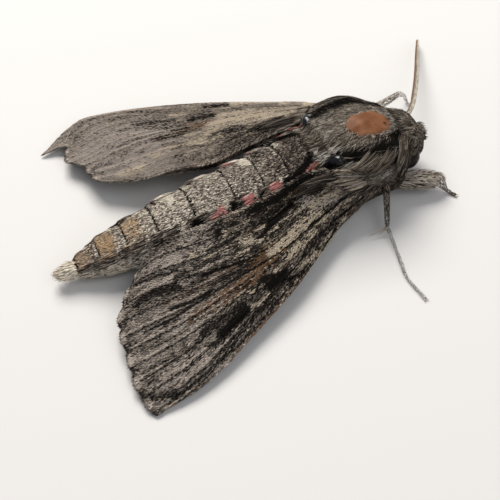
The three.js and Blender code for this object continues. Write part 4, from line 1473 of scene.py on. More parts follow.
FOOT_BANDS = 9
THORAX_COUNTS = (11500, 11500)
ABDOMEN_COUNTS = (13500, 13500)
ABDOMEN_LIGHT = ((-24, -20, -14, -5, 0, 3, 4.4, 5, 9), (0.5, 0.46, 0.44, 0.4, 0.32, 0.18, 0.16, 0.16, 0.13))


@dataclass
class Skin:
    """The skin of head, thorax and abdomen, with a union that asks for palps and legs too.

    Blender refuses each union, as the trunk's seam and the tips of the feet stay open, so that what
    is built is the trunk alone. The log says so.
    """

    finish: bpy.types.Material
    body: BodyForm = BodyForm()
    paint: BodyMarks = BodyMarks()
    legs: tuple[LegForm, ...] = LEGS
    columns: int = 150
    rows: int = 380
    names: tuple[str, ...] = ("head", "thorax", "tail_tuft", "palp_left", "palp_right")

    def trunk(self) -> bpy.types.Object:
        """Bend the trunk's grid."""

        def surface(a: Array, b: Array) -> tuple[Array, Fields]:
            """Give the trunk's points and fields."""
            eased = b - 0.12 * np.sin(2 * math.pi * b) / 6.283
            x = self.body.tail + (self.body.front - self.body.tail) * eased
            angle = turned(a)
            degrees = np.degrees(angle)
            marks = self.paint.at(x, angle)
            bare = self.paint.bare(x, degrees)
            pit = smooth(0.32, 0.12, np.hypot(x - 18.1, (degrees + 15.0) * self.paint.mm_per_degree))
            rim = bare * np.maximum(smooth(0.95, 0.5, bare), 0.8 * pit)
            horn = np.stack([bare, self.paint.gloss(x, degrees), np.clip(rim * 1.2, 0, 1)], -1)
            dome = 0.12 * bare + 0.1 * self.paint.gloss(x, degrees)
            zone = smooth(9.3, 8.8, x)
            lock, extra = even(x, 0.42, 0.5, zone), even(x, x, angle * BODY_RADIUS, 0.0)
            uv = self.body.unwrap(x, angle)
            return self.body.place(x, angle, dome), Fields(marks, lock, uv, extra, horn)

        mesh = bent_grid("moth_skin", self.columns, self.rows, surface)
        return linked("moth_skin", closed(mesh), self.finish)

    def limb(self, name: str, tube: TubeForm, columns: int, rows: int, bands: float) -> bpy.types.Object:
        """Bend one tube that the union is asked to add to the trunk."""

        def surface(a: Array, b: Array) -> tuple[Array, Fields]:
            """Give the tube's points and fields."""
            angle = turned(a)
            foot = smooth(0.55, 0.62, b) * bands
            wave = 0.5 * np.cos(2 * math.pi * FOOT_BANDS * b)
            marks = even(a, 0.75 * foot * (0.5 + wave), 0.6 * foot * (0.5 - wave), 0.0, 0.0)
            lock, extra = even(a, 0.42, 0.5, 0.0), even(a, b * tube.length(), angle * 0.5, 0.0)
            horn = np.zeros(a.shape + (3,))
            return tube.place(b, angle), Fields(marks, lock, tube.unwrap(b, angle), extra, horn)

        mesh = bent_grid(name, columns, rows, surface)
        return linked(name, closed(mesh), self.finish)

    def build(self) -> bpy.types.Object:
        """Build the trunk's skin and ask for the union with palps and legs."""
        trunk = self.trunk()
        limbs = [self.limb(f"palp_form_{side}", palp_form(side), 20, 30, 0.0) for side in (-1, 1)]
        limbs += [self.limb(leg.name, leg.tube(), 16, 110, 1.0) for leg in self.legs]
        for limb in limbs:
            union = trunk.modifiers.new(limb.name, "BOOLEAN")
            union.operation, union.solver, union.object = "UNION", "MANIFOLD", limb
        graph = bpy.context.evaluated_depsgraph_get()
        mesh = bpy.data.meshes.new_from_object(trunk.evaluated_get(graph))
        if len(mesh.polygons) == len(trunk.data.polygons):
            LOG.warning("moth_skin: the union was refused, so palps and legs have no skin")
        trunk.modifiers.clear()
        trunk.data = mesh
        mesh.shade_smooth()
        for limb in limbs:
            bpy.data.objects.remove(limb)
        rings = [f"abdomen_{i + 1}" for i in range(len(self.body.rings) - 1)]
        parts = [f"{leg.name}_{part}" for leg in self.legs for part in ("femur", "tibia", "tarsus")]
        dress(trunk, "coat", *self.names, *rings, *parts)
        LOG.info("moth_skin: %d faces", len(mesh.polygons))
        return trunk


def dress(piece: bpy.types.Object, slot: str, *nodes: str) -> None:
    """Tie a piece to the body and hide the solids it stands for."""
    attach(piece, "root")
    if nodes:
        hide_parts(*nodes)


def palp_form(side: int) -> TubeForm:
    """Give one palp, held up before the head."""
    y = 0.4
    points = ((21.8, y + side * 0.9, 2.7), (23.0, y + side * 1.0, 2.1), (23.8, y + side * 0.9, 2.8),
              (24.1, y + side * 0.75, 3.7))
    return TubeForm(points, (0.5, 0.7, 0.62, 0.3))


@dataclass
class BodyCoat:
    """The hair of head and thorax and the scales of the abdomen."""

    finish: dict[str, bpy.types.Material]
    body: BodyForm = BodyForm()
    paint: BodyMarks = BodyMarks()
    rng: np.random.Generator = field(default_factory=lambda: np.random.default_rng(7))

    def comb(self, x: Array, angle: Array, run: Array, drift: Array, lifts: tuple[Array, Array, Array],
             stations: tuple[float, ...]) -> Array:
        """Lead centre lines over the body.

        Args:
            x: Roots along the body, in millimetres.
            angle: Roots round it, in radians.
            run: How far each blade runs back, or forward where negative.
            drift: How far each runs round the body, in radians.
            lifts: Height at the root, growth to the tip and sag, in millimetres.
            stations: Shares of the length.

        Returns:
            One row of points for each blade.
        """
        s = np.array(stations)[None]
        xs = x[:, None] - run[:, None] * s
        over = np.minimum(xs - (self.body.tail + 0.9), 0) + np.maximum(xs - (self.body.front - 0.35), 0)
        rise = lifts[0][:, None] + lifts[1][:, None] * s - lifts[2][:, None] * s * s
        points = self.body.place(xs - over, angle[:, None] + drift[:, None] * s, rise)
        points[..., 0] += over
        return points

    def gathered(self, x: Array, angle: Array, cell: float, seed: int) -> tuple[Array, Array]:
        """Give the way from each root to the middle of its lock, in millimetres and radians."""
        i, j = np.floor(x / cell), np.floor(angle * BODY_RADIUS / cell)
        jitter = Mottle(seed)
        cx = (i + 0.5 + 0.45 * jitter.at(i * 3.7, j * 5.1)) * cell
        cy = (j + 0.5 + 0.45 * jitter.at(i * 2.3 + 9, j * 4.7)) * cell
        return cx - x, cy / BODY_RADIUS - angle

    def outward(self, x: Array, angle: Array) -> Array:
        """Give the skin's outward direction."""
        _, _, out = normals_of(self.body.place, x, angle, 0.15, 0.03)
        middle = self.body.place(x, angle)
        hub = np.stack([x, self.body.line(self.body.bow, x), np.full(x.shape, 4.0)], -1)
        return out * np.sign(np.sum(out * (middle - hub), -1))[:, None]

    def roots(self, count: int, low: float, high: float, phase: float) -> tuple[Array, Array]:
        """Scatter roots evenly over a length of the body."""
        a, b = spots(count, phase)
        grid = np.linspace(low, high, 80)
        girth = self.body.line(self.body.half_width, grid) + self.body.line(self.body.back, grid) / 2
        share = np.concatenate([[0], np.cumsum((girth[1:] + girth[:-1]) / 2)])
        return np.interp(a, share / share[-1], grid), turned(b)

    def plant(self, blades: Blades, x: Array, angle: Array, run: Array, drift: Array,
              lifts: tuple[Array, Array, Array], width: float | Array, lighten: float | Array,
              zone: float) -> None:
        """Grow blades at roots with the markings of the place; run, drift and lifts are those of comb."""
        draw = self.rng.random(len(x))
        marks = picked(self.paint.at(x, angle), draw)
        tint = salted(self.rng, len(x), lighten)
        centre = self.comb(x, angle, run, drift, lifts, blades.stations)
        blades.grow(centre, self.outward(x, angle), width, marks, tint, self.body.unwrap(x, angle), zone)

    def thorax(self) -> list[bpy.types.Object]:
        """Grow the thorax's hair in locks, leaving the worn patch and the glossy domes naked."""
        made = []
        for number, count in enumerate(THORAX_COUNTS):
            x, angle = self.roots(count, 8.9, 20.6, 0.31 + 0.37 * number)
            degrees = np.degrees(angle)
            draw = self.rng.random(len(x))
            side = np.abs(degrees - 3)
            keep = (self.paint.bare(x - 0.25, degrees) < 0.25) & (self.paint.gloss(x, degrees) < 0.4)
            off_domes = self.paint.gloss(x - 0.9, degrees) < 0.5
            keep &= off_domes | (degrees > -38) & (degrees < 40) & (draw < 0.5)
            keep &= (side < 115) | (draw < 0.55)
            behind_patch = self.paint.bare(x - 1.0, degrees) > 0.5
            keep &= ~((x > 14.5) & (np.abs(degrees + 8) < 21) & behind_patch & (draw < 0.55))
            x, angle, side = x[keep], angle[keep], side[keep]
            n = len(x)
            to_x, to_angle = self.gathered(x, angle, 0.95, 51 + number)
            wind = Mottle(61).rough(x * 0.8, angle * 4.4)
            length = 1.0 + 0.9 * smooth(32, 62, side) + 0.22 * self.rng.normal(size=n)
            length = np.clip(length - 0.45 * smooth(11.5, 9.5, x), 0.7, 2.7)
            length *= 1 - 0.45 * bell(x - 18.3, 1.2) * smooth(35, 20, side)
            splay = 0.08 * np.sin(2 * (angle - 0.05)) * smooth(120, 60, side)
            run = length * (0.94 + 0.1 * wind) - 0.45 * to_x
            drift = 0.5 * to_angle + splay + 0.08 * wind + 0.055 * self.rng.normal(size=n)
            stand = 0.34 + 0.22 * np.abs(wind) + 0.12 * self.rng.random(n)
            lifts = (np.full(n, -0.03), stand * length * 0.55, stand * length * 0.34)
            width = np.clip(self.rng.normal(0.08, 0.016, n), 0.05, 0.12)
            blades = Blades(f"thorax_hair_{number + 1}", *HAIR)
            grey = 0.43 - 0.12 * smooth(12.6, 11.2, x) * smooth(4, -12, np.degrees(angle)) + 0.16 * wind
            grey -= 0.16 * smooth(30, 50, side) * smooth(78, 62, side)
            grey -= 0.14 * smooth(14.2, 16.0, x) * smooth(18, 32, side)
            grey += 0.2 * smooth(92, 125, side)
            self.plant(blades, x, angle, run, drift, lifts, width, grey, 0.0)
            made.append(blades.finish(self.finish["thorax"]))
        return made

    def head(self) -> bpy.types.Object:
        """Grow the head's hair: back over the crown, forward and down over the face."""
        x, angle = self.roots(7600, 20.0, self.body.front, 0.77)
        side = np.abs(np.degrees(angle) - 2)
        eye = EyeForm()
        p = self.body.place(x, angle)
        clear = np.hypot(p[:, 0] - eye.x, p[:, 2] - eye.z) > 1.35
        keep = clear | (np.abs(p[:, 1] - 0.6) < 2.6)
        x, angle, side = x[keep], angle[keep], side[keep]
        n = len(x)
        forward = smooth(22.4, 23.0, x + 0.25 * self.rng.normal(size=n))
        to_x, to_angle = self.gathered(x, angle, 0.7, 55)
        length = np.clip(0.85 + 0.5 * smooth(60, 30, side) + 0.18 * self.rng.normal(size=n), 0.45, 1.7)
        run = length * (1 - 1.5 * forward) - 0.35 * to_x
        drift = 0.4 * to_angle + 0.22 * forward * np.sin(angle) + 0.05 * self.rng.normal(size=n)
        corner = smooth(8, 26, np.degrees(angle)) * smooth(21.8, 22.8, x) * smooth(62, 44, np.degrees(angle))
        stand = 0.5 + 0.2 * self.rng.random(n) + 0.55 * corner
        lifts = (np.full(n, -0.03), stand * length * 0.75, stand * length * (0.4 + 0.6 * forward))
        width = np.clip(self.rng.normal(0.085, 0.018, n), 0.055, 0.13)
        blades = Blades("head_hair", *HAIR)
        self.plant(blades, x, angle, run, drift, lifts, width, 0.35, 0.0)
        self.brow(blades)
        self.palps(blades)
        return blades.finish(self.finish["thorax"])

    def brow(self, blades: Blades) -> None:
        """Grow the fringe that hangs over the top of each eye."""
        count = 420
        for side in (-1, 1):
            a, b = self.rng.random(count), self.rng.random(count)
            x = 19.6 + 3.1 * a
            angle = side * np.radians(46 + 12 * b)
            run = 0.3 + 0.5 * self.rng.normal(size=count) * 0.4 - 0.5 * (a - 0.5)
            drift = side * np.radians(14 + 10 * self.rng.random(count))
            stand = 0.4 + 0.3 * self.rng.random(count)
            lifts = (np.zeros(count), stand, stand * 0.75)
            self.plant(blades, x, angle, run, drift, lifts, 0.095, 0.26, 0.0)

    def palps(self, blades: Blades) -> None:
        """Cover the palps with short upswept scales."""
        count = 620
        for side in (-1, 1):
            tube = palp_form(side)
            t, b = spots(count, 0.41 + 0.1 * side)
            angle = turned(b)
            s = np.array(blades.stations)[None]
            lift = (0.02 + (0.2 * s - 0.05 * s * s)) * np.ones((count, 1))
            centre = tube.place(t[:, None] + 0.17 * s, angle[:, None] + 0 * s, lift)
            _, _, out = normals_of(tube.place, t, angle, 0.02, 0.1)
            hub = tube.place(t, angle) - tube.place(t, angle + math.pi)
            out = out * np.sign(np.sum(out * hub, -1))[:, None]
            marks = even(t, 0.5 * (np.sin(angle) < 0.3), 0.4 * (t > 0.3), 0.0, 0.0)
            marks = picked(marks, self.rng.random(count))
            tint = salted(self.rng, count, 0.35)
            blades.grow(centre, out, 0.11, marks, tint, tube.unwrap(t, angle))

    def abdomen(self) -> list[bpy.types.Object]:
        """Grow the flat scales of the rings, with a longer fringe at the end of each."""
        made = []
        for number, count in enumerate(ABDOMEN_COUNTS):
            x, angle = self.roots(count, -23.6, 9.1, 0.13 + 0.41 * number)
            side = np.abs(np.degrees(angle))
            draw = self.rng.random(len(x))
            keep = (side < 105) | (draw < 0.6)
            x, angle, side = x[keep], angle[keep], side[keep]
            n = len(x)
            ring, share = self.body.ring_share(x)
            edges = np.array(self.body.rings)
            left = (1 - share) * (edges[ring] - edges[ring + 1])
            length = np.clip(0.4 + 0.08 * self.rng.normal(size=n), 0.26, 0.66)
            on_rings = (x > self.body.rings[-1]) & (x < self.body.rings[0])
            length = np.where(on_rings, np.clip(length, 0.2, np.maximum(left, 0.26)), length)
            wind = Mottle(66).rough(x * 0.6, angle * 2.6)
            drift = 0.018 * self.rng.normal(size=n) + 0.025 * wind
            stand = 0.05 + 0.07 * self.rng.random(n) + 0.05 * smooth(0.85, 0.95, share)
            stand += 0.03 * smooth(40, 75, side)
            lifts = (np.full(n, 0.0), stand, stand * 0.25)
            width = np.clip(self.rng.normal(0.112, 0.022, n), 0.07, 0.17)
            lighten = np.interp(x, *ABDOMEN_LIGHT) + 0.12 * wind
            flank = 0.16 * smooth(46, 52, side) * smooth(72, 62, side)
            lighten -= flank * smooth(-14.0, -9.0, x) * (angle < 0)
            lighten += 0.16 * smooth(36, 46, side) * (angle > 0) * smooth(6, 4, x) * smooth(-13, -9, x)
            blades = Blades(f"abdomen_scales_{number + 1}", *FLAKE)
            self.plant(blades, x, angle, length, drift, lifts, width, lighten, 1.0)
            made.append(blades.finish(self.finish["abdomen"]))
        return made

    def tufts(self) -> bpy.types.Object:
        """Grow what stands out: side tufts of each ring, waist fringe and tail brush."""
        blades = Blades("abdomen_tufts", *HAIR)
        edges = self.body.rings
        for i, (front, rear) in enumerate(zip(edges, edges[1:])):
            count = 190
            for side in (-1, 1):
                a, b = self.rng.random(count), self.rng.random(count)
                far = side > 0 and -14 < rear < 6
                x = rear + (front - rear) * ((0.45 if far else 0.02) + (0.4 if far else 0.55) * a)
                angle = side * np.radians(36 + 34 * b) + 0.03
                length = 1.1 + 0.5 * self.rng.random(count)
                stand = (0.18 + 0.12 * self.rng.random(count)) * (1.7 if far else 1.0)
                lifts = (np.zeros(count), stand * 1.3, stand * 0.6)
                drift = side * 0.05 * self.rng.random(count)
                self.plant(blades, x, angle, length, drift, lifts, 0.1, 0.5 if far else 0.25, 1.0)
        self.waist(blades)
        self.tail(blades)
        return blades.finish(self.finish["abdomen"])

    def waist(self, blades: Blades) -> None:
        """Grow the hair that runs back from the thorax over the first ring."""
        count = 1500
        angle = np.radians(150 * (2 * self.rng.random(count) - 1))
        x = 9.1 + 0.9 * self.rng.random(count)
        length = np.clip(1.35 + 0.35 * self.rng.normal(size=count), 0.6, 2.3)
        stand = 0.25 + 0.25 * self.rng.random(count)
        keep = self.paint.gloss(x, np.degrees(angle)) < 0.3
        x, angle, length, stand = (v[keep] for v in (x, angle, length, stand))
        n = len(x)
        drift = 0.05 * self.rng.normal(size=n)
        self.plant(blades, x, angle, length, drift, (np.full(n, 0.15), stand, stand * 0.9), 0.1, 0.3, 0.0)

    def tail(self, blades: Blades) -> None:
        """Grow the blunt brush of pale scales that ends the abdomen."""
        count = 2600
        far = self.rng.random(count)
        turn = 2 * math.pi * self.rng.random(count)
        crowding = np.where(far > 0.55, 0.55, 0.25)
        girth = 1.06 * np.sqrt(1 - (0.8 * far) ** 2) * self.rng.random(count) ** crowding
        across, upward = np.sin(turn), np.cos(turn)
        s = np.array(blades.stations)[None]
        start = -22.5 - 1.9 * far
        length = 0.8 + 0.85 * self.rng.random(count) ** 2
        flare = (0.2 * self.rng.random(count) ** 2) * length
        spread = girth[:, None] + flare[:, None] * s - 0.35 * girth[:, None] * s**2 * far[:, None]
        stray = 0.1 * self.rng.normal(size=(3, count, 1)) * s
        x = start[:, None] - length[:, None] * s + stray[2]
        y = self.body.bow[0] + 1.08 * across[:, None] * spread + stray[0]
        z = 1.7 + 0.95 * upward[:, None] * spread + stray[1]
        out = even(across, 0.0, across, upward)
        marks = np.zeros((count, 4))
        marks[:, 1] = np.where(self.rng.random(count) < 0.85, 1.0, 0.5)
        marks[:, 2] = np.where(self.rng.random(count) < 0.3, 0.7, 0.0)
        blades.grow(np.stack([x, y, z], -1), out, 0.12, marks, self.rng.random(count),
                    self.body.unwrap(start, turn - math.pi), 1.0)

    def lock(self) -> bpy.types.Object:
        """Grow the long locks over the wing roots and the pale pointed one by the waist."""
        blades = Blades("shoulder_locks", *LONG_HAIR)
        bundles = (
            ((21.4, -50.0), (17.6, -96.0), 260, 0.8, 1.0, D),
            ((20.6, -42.0), (16.6, -84.0), 260, 0.8, 0.95, O),
            ((22.0, -62.0), (19.0, -108.0), 180, 0.6, 0.9, O),
            ((15.5, -52.0), (10.6, -68.0), 120, 0.8, 0.6, O),
            ((17.5, -55.0), (12.6, -78.0), 150, 0.9, 0.6, O),
            ((15.5, 52.0), (10.6, 66.0), 120, 0.8, 0.6, D),
            ((17.5, 55.0), (12.6, 74.0), 150, 0.9, 0.6, D),
            ((12.6, -58.0), (8.8, -66.0), 110, 0.6, 0.5, P),
            ((11.4, -28.0), (9.8, -33.0), 24, 0.3, 0.6, P),
            ((9.0, -20.0), (8.1, -27.0), 50, 0.25, 0.5, P),
            ((9.2, 42.0), (7.4, 47.0), 110, 0.4, 0.5, A),
            ((8.6, -38.0), (6.9, -42.0), 90, 0.35, 0.35, A),
        )
        s = np.array(blades.stations)[None]
        for (x0, d0), (x1, d1), count, spread, lift, tone in bundles:
            a, b = self.rng.normal(size=count), self.rng.normal(size=count)
            x = x0 + spread * 0.7 * a
            angle = np.radians(d0 + spread * 6 * b)
            reach = 0.72 + 0.28 * self.rng.random(count)
            end_x = x + (x1 + 0.12 * a - x) * reach
            end_angle = angle + (np.radians(d1 + 1.2 * b) - angle) * reach
            xs = x[:, None] + (end_x - x)[:, None] * s
            angles = angle[:, None] + (end_angle - angle)[:, None] * s
            rise = lift * np.sin(math.pi * 0.62 * s) * (0.75 + 0.25 * self.rng.random((count, 1)))
            marks = np.zeros((count, 4))
            weight = {O: 0.15, A: 1.3}.get(tone, 1)
            marks[:, tone.value] = np.where(self.rng.random(count) < 0.5, 0.75, 0.05) * weight
            blades.grow(self.body.place(xs, angles, rise), self.outward(x, angle), 0.085, marks,
                        salted(self.rng, count, 0.3), self.body.unwrap(x, angle))
        return blades.finish(self.finish["thorax"])

    def build(self) -> None:
        """Grow every piece of the body's coat."""
        for piece in (*self.thorax(), self.head(), self.lock()):
            dress(piece, "coat")
        for piece in self.abdomen():
            dress(piece, "ring")
        dress(self.tufts(), "tuft")


@dataclass
class Eyes:
    """The two compound eyes."""

    finish: bpy.types.Material
    form: EyeForm = EyeForm()
    body: BodyForm = BodyForm()

    def build(self) -> None:
        """Make both eyes."""
        bow = float(self.body.line(self.body.bow, np.array([self.form.x]))[0])
        for name, side in (("eye_left", 1), ("eye_right", -1)):
            bm = bmesh.new()
            bmesh.ops.create_uvsphere(bm, u_segments=56, v_segments=36, radius=1.0)
            turn = side * self.form.turn
            rx, ry, rz = self.form.radii
            for v in bm.verts:
                x, y, z = v.co.x * rx, v.co.y * ry, v.co.z * rz
                px = x * math.cos(turn) + y * math.sin(turn) + self.form.x
                py = -x * math.sin(turn) + y * math.cos(turn) + bow + side * self.form.out
                v.co = Vector(to_row(np.array([px, py, z + self.form.z])))
            bmesh.ops.recalc_face_normals(bm, faces=bm.faces)
            dress(linked(name + "_ball", mesh_of(name, bm), self.finish), "eye", name)
        LOG.info("eyes built")


FEELER_RADII = (0.24, 0.29, 0.31, 0.32, 0.31, 0.29, 0.25, 0.16)
FEELERS: dict[str, TubeForm] = {
    "antenna_left": TubeForm(((22.9, 1.9, 6.3), (24.6, 3.2, 6.6), (27.3, 6.6, 5.4), (30.4, 10.9, 4.0),
                              (33.6, 15.7, 2.4), (36.4, 19.9, 1.0)), FEELER_RADII, None, 0.34, 0.16),
    "antenna_right": TubeForm(((22.6, -1.0, 6.1), (21.2, -2.8, 6.4), (19.5, -4.5, 5.1), (18.2, -5.4, 3.5),
                               (15.0, -4.9, 2.2), (10.45, -5.85, 2.0), (6.95, -8.5, 1.75),
                               (3.85, -10.35, 1.6), (0.45, -12.45, 1.4)), FEELER_RADII, None, 0.34, 0.16),
}


def laid_back(name: str, t: Array, marks: Array) -> Array:
    """Darken the laid-back feeler by the head with painted shade, where it runs in the shadow under the
    head's fringe, and make it pale where it shows along the wing.
    """
    if name != "antenna_right":
        return marks
    shown = smooth(0.4, 0.55, t)[..., None]
    # Painted shade: dark where the feeler runs under the head's fringe.
    painted_shade_part = np.broadcast_to(np.array([0.85, 0.0, 0.3, 0.0]), marks.shape)
    return painted_shade_part * (1 - shown) + np.broadcast_to(np.array([0.0, 0.8, 0.0, 0.0]), marks.shape) * shown


@dataclass
class Feelers:
    """The ringed, scaled feelers."""

    finish: bpy.types.Material
    coat: bpy.types.Material

    def build(self) -> None:
        """Make both feelers and their scales."""
        rng = np.random.default_rng(19)
        for name, tube in FEELERS.items():

            def surface(a: Array, b: Array) -> tuple[Array, Fields]:
                """Give the feeler's points and fields."""
                angle = turned(a)
                ring = np.abs(np.sin(math.pi * b * tube.length() / tube.ring_pitch)) ** 6
                pale, ochre = smooth(0.3, -0.4, np.sin(angle)), smooth(0.1, 0.7, np.sin(angle))
                marks = laid_back(name, b, even(a, 0.45 * ring, 0.5 * pale, 0.8 * ochre, 0.0))
                lock, extra = even(a, 0.5, 0.5, 0.0), even(a, b * tube.length(), angle * 0.35, 0.0)
                return tube.place(b, angle), Fields(marks, lock, tube.unwrap(b, angle), extra)

            mesh = closed(bent_grid(name + "_shaft", 16, 700, surface))
            dress(linked(name + "_shaft", mesh, self.finish), "feeler", name)
            blades = Blades(name + "_scales", *FLAKE)
            count = 1500
            t, b = spots(count, 0.2)
            angle = turned(b) * 0.8
            s = np.array(blades.stations)[None]
            centre = tube.place(t[:, None] + 0.4 / tube.length() * s, angle[:, None] + 0 * s, 0.01 + 0.05 * s)
            pale, ochre = smooth(0.3, -0.4, np.sin(angle)), smooth(0.1, 0.7, np.sin(angle))
            marks = laid_back(name, t, even(t, 0.0, pale * 0.6, ochre, 0.0))
            blades.grow(centre, tube.outward(t, angle), 0.11, picked(marks, rng.random(count)),
                        rng.random(count), tube.unwrap(t, angle))
            dress(blades.finish(self.coat), "feeler")


@dataclass
class Wings:
    """Both pairs of wings with their scales and fringes."""

    finish: bpy.types.Material
    coat: bpy.types.Material
    thickness: float = 0.15
    bundles: tuple[tuple[tuple[float, float], tuple[float, float], int, float, Tone], ...] = (
        ((0.05, 0.50), (0.19, 0.62), 110, 0.35, P),
        ((0.04, 0.44), (0.17, 0.50), 130, 0.5, A),
        ((0.05, 0.36), (0.16, 0.42), 130, 0.6, P),
        ((0.04, 0.28), (0.17, 0.34), 120, 0.6, D),
        ((0.05, 0.66), (0.19, 0.72), 130, 0.6, P),
        ((0.03, 0.76), (0.16, 0.84), 130, 0.6, A),
        ((0.03, 0.18), (0.15, 0.22), 100, 0.6, D),
        ((0.21, 0.69), (0.36, 0.77), 150, 0.7, D),
        ((0.12, 0.80), (0.34, 0.86), 150, 0.8, D),
    )
    rng: np.random.Generator = field(default_factory=lambda: np.random.default_rng(23))

    def sheet(self, name: str, form: WingForm | HindwingForm, columns: int, rows: int, node: str,
              slot: str) -> None:
        """Make one wing's membrane, thick enough to be solid."""

        def surface(a: Array, b: Array) -> tuple[Array, Fields]:
            """Give the wing's points and fields."""
            v = b if form.side > 0 else 1 - b
            lock = even(a, 0.45, 0.5, 0.0)
            extra = even(a, a * WING_LENGTH, v * 16 - a * form.lie(v) * 16, 0.0)
            return form.place(a, v), Fields(form.marks(a, v), lock, wing_unwrap(a, v), extra)

        mesh = bent_grid(name, columns, rows, surface)
        bm = bmesh.new()
        bm.from_mesh(mesh)
        bmesh.ops.recalc_face_normals(bm, faces=bm.faces)
        up = sum(f.normal.z for f in bm.faces)
        if up < 0:
            bmesh.ops.reverse_faces(bm, faces=bm.faces)
        bmesh.ops.solidify(bm, geom=bm.faces[:], thickness=self.thickness * MM)
        bmesh.ops.recalc_face_normals(bm, faces=bm.faces)
        for v in bm.verts:
            v.co.z = max(v.co.z, OVER_FLOOR * MM)
        bm.to_mesh(mesh)
        bm.free()
        dress(linked(name, mesh, self.finish), slot, node)
        LOG.info("%s: %d faces", name, len(mesh.polygons))

    def scales(self, name: str, form: WingForm, under: bool, count: int, phase: float) -> None:
        """Cover one face of a forewing with scales lying along the veins."""
        u, v = spots(count, phase)
        n = count
        draw = self.rng.random(n)
        root = smooth(0.26, 0.06, u)
        length = np.clip(0.4 + 0.08 * self.rng.normal(size=n), 0.24, 0.7) + 0.85 * root * (not under)
        width = np.clip(self.rng.normal(0.112, 0.022, n), 0.06, 0.18) - 0.02 * root
        wind = Mottle(81 + form.side).rough(u * 24, v * 9)
        drift = form.lie(v) + 0.2 * self.rng.normal(size=n) + 0.35 * wind * (0.3 + root)
        blades = Blades(name, *FLAKE)
        s = np.array(blades.stations)[None]
        stand = 0.03 + 0.04 * self.rng.random(n) + (0.22 + 0.2 * self.rng.random(n)) * root * (not under)
        lift = stand[:, None] * s
        us = u[:, None] + length[:, None] * s / WING_LENGTH
        vs = v[:, None] + drift[:, None] * length[:, None] * s / WING_LENGTH
        if under:
            lift = -lift - self.thickness - 0.01
        centre = form.place(us, vs, lift)
        out = form.outward(u, v) * (-1 if under else 1)
        marks = form.marks(u, v)
        if under:
            marks = marks * 0.25
            marks[:, 1] = 0.3
        tint = salted(self.rng, n, form.brightness(u, v) + 0.2 * wind)
        blades.grow(centre, out, width, picked(marks, draw), tint, wing_unwrap(u, v))
        if not under:
            self.fringe(blades, form)
        dress(blades.finish(self.coat), "wing")

    def locks(self) -> None:
        """Lay the pale pointed locks and the shaggy hair of the wing roots."""
        blades = Blades("wing_root_locks", *LONG_HAIR)
        s = np.array(blades.stations)[None]
        for form in (RIGHT_WING, LEFT_WING):
            for (u0, v0), (u1, v1), count, spread, tone in self.bundles:
                v0, v1 = form.from_pattern(v0), form.from_pattern(v1)
                a, b, reach = self.rng.normal(size=count), self.rng.normal(size=count), self.rng.random(count)
                u = u0 + 0.35 * spread * a / WING_LENGTH * 2
                v = v0 + spread * b / WING_DEPTH
                end_u = u + (u1 - u) * (0.7 + 0.3 * reach)
                end_v = v + (v1 - v) * (0.75 + 0.25 * reach)
                us, vs = u[:, None] + (end_u - u)[:, None] * s, v[:, None] + (end_v - v)[:, None] * s
                rise = (0.1 + 0.32 * np.sin(math.pi * 0.7 * s)) * (0.6 + 0.6 * self.rng.random((count, 1)))
                marks = np.zeros((count, 4))
                marks[:, tone.value] = np.where(self.rng.random(count) < 0.6, 0.85, 0.1)
                blades.grow(form.place(us, vs, rise), form.outward(u, v), 0.075, marks,
                            salted(self.rng, count, 0.36), wing_unwrap(u, v))
        dress(blades.finish(self.coat), "wing")

    def fringe(self, blades: Blades, form: WingForm) -> None:
        """Grow the chequered fringe of the outer margin and the hair of the rear edge."""
        s = np.array(blades.stations)[None]
        count = 1500
        v = self.rng.random(count)
        u = np.full(count, 0.99)
        length = np.clip(0.75 + 0.15 * self.rng.normal(size=count), 0.35, 1.1)
        us = u[:, None] + length[:, None] * s / WING_LENGTH
        vs = v[:, None] + (form.lie(v) * length)[:, None] * s / WING_LENGTH
        marks = np.zeros((count, 4))
        dark = 0.5 + 0.5 * np.cos(2 * math.pi * form.scallops * v)
        # The fringe's dark checks are weakened on the far wing as painted light.
        marks[:, 0] = smooth(0.45, 0.8, dark) * 0.75 / form.painted_light_pale_share
        marks[:, 3] = smooth(0.6, 0.1, dark) * 0.9
        level = -0.08 * self.rng.random((count, 1)) + 0 * s
        blades.grow(form.place(us, vs, level), form.outward(u, v), 0.16, marks, self.rng.random(count),
                    wing_unwrap(u, v))
        count = 900
        u = 0.16 + 0.82 * self.rng.random(count)
        v = np.full(count, 0.985)
        length = np.clip(0.8 + 0.2 * self.rng.normal(size=count), 0.3, 1.2) * smooth(0.0, 0.15, u)
        us = u[:, None] + 0.8 * length[:, None] * s / WING_LENGTH
        vs = v[:, None] + 0.6 * length[:, None] * s / WING_DEPTH
        level = -0.05 * self.rng.random((count, 1)) - 0.1 * s
        marks = picked(form.marks(u, v), self.rng.random(count))
        blades.grow(form.place(us, vs, level), form.outward(u, v), 0.13, marks, self.rng.random(count),
                    wing_unwrap(u, v))

    def build(self) -> None:
        """Make all four wings."""
        self.locks()
        for side, form in (("right", RIGHT_WING), ("left", LEFT_WING)):
            self.sheet(f"forewing_{side}_skin", form, 250, 100, f"forewing_{side}", "wing")
            self.sheet(f"hindwing_{side}_skin", HindwingForm(form), 70, 60, f"hindwing_{side}", "hindwing")
            self.scales(f"forewing_{side}_scales_1", form, False, 9000, 0.11)
            self.scales(f"forewing_{side}_scales_2", form, False, 9000, 0.63)
            self.scales(f"forewing_{side}_under_scales", form, True, 4600, 0.37)


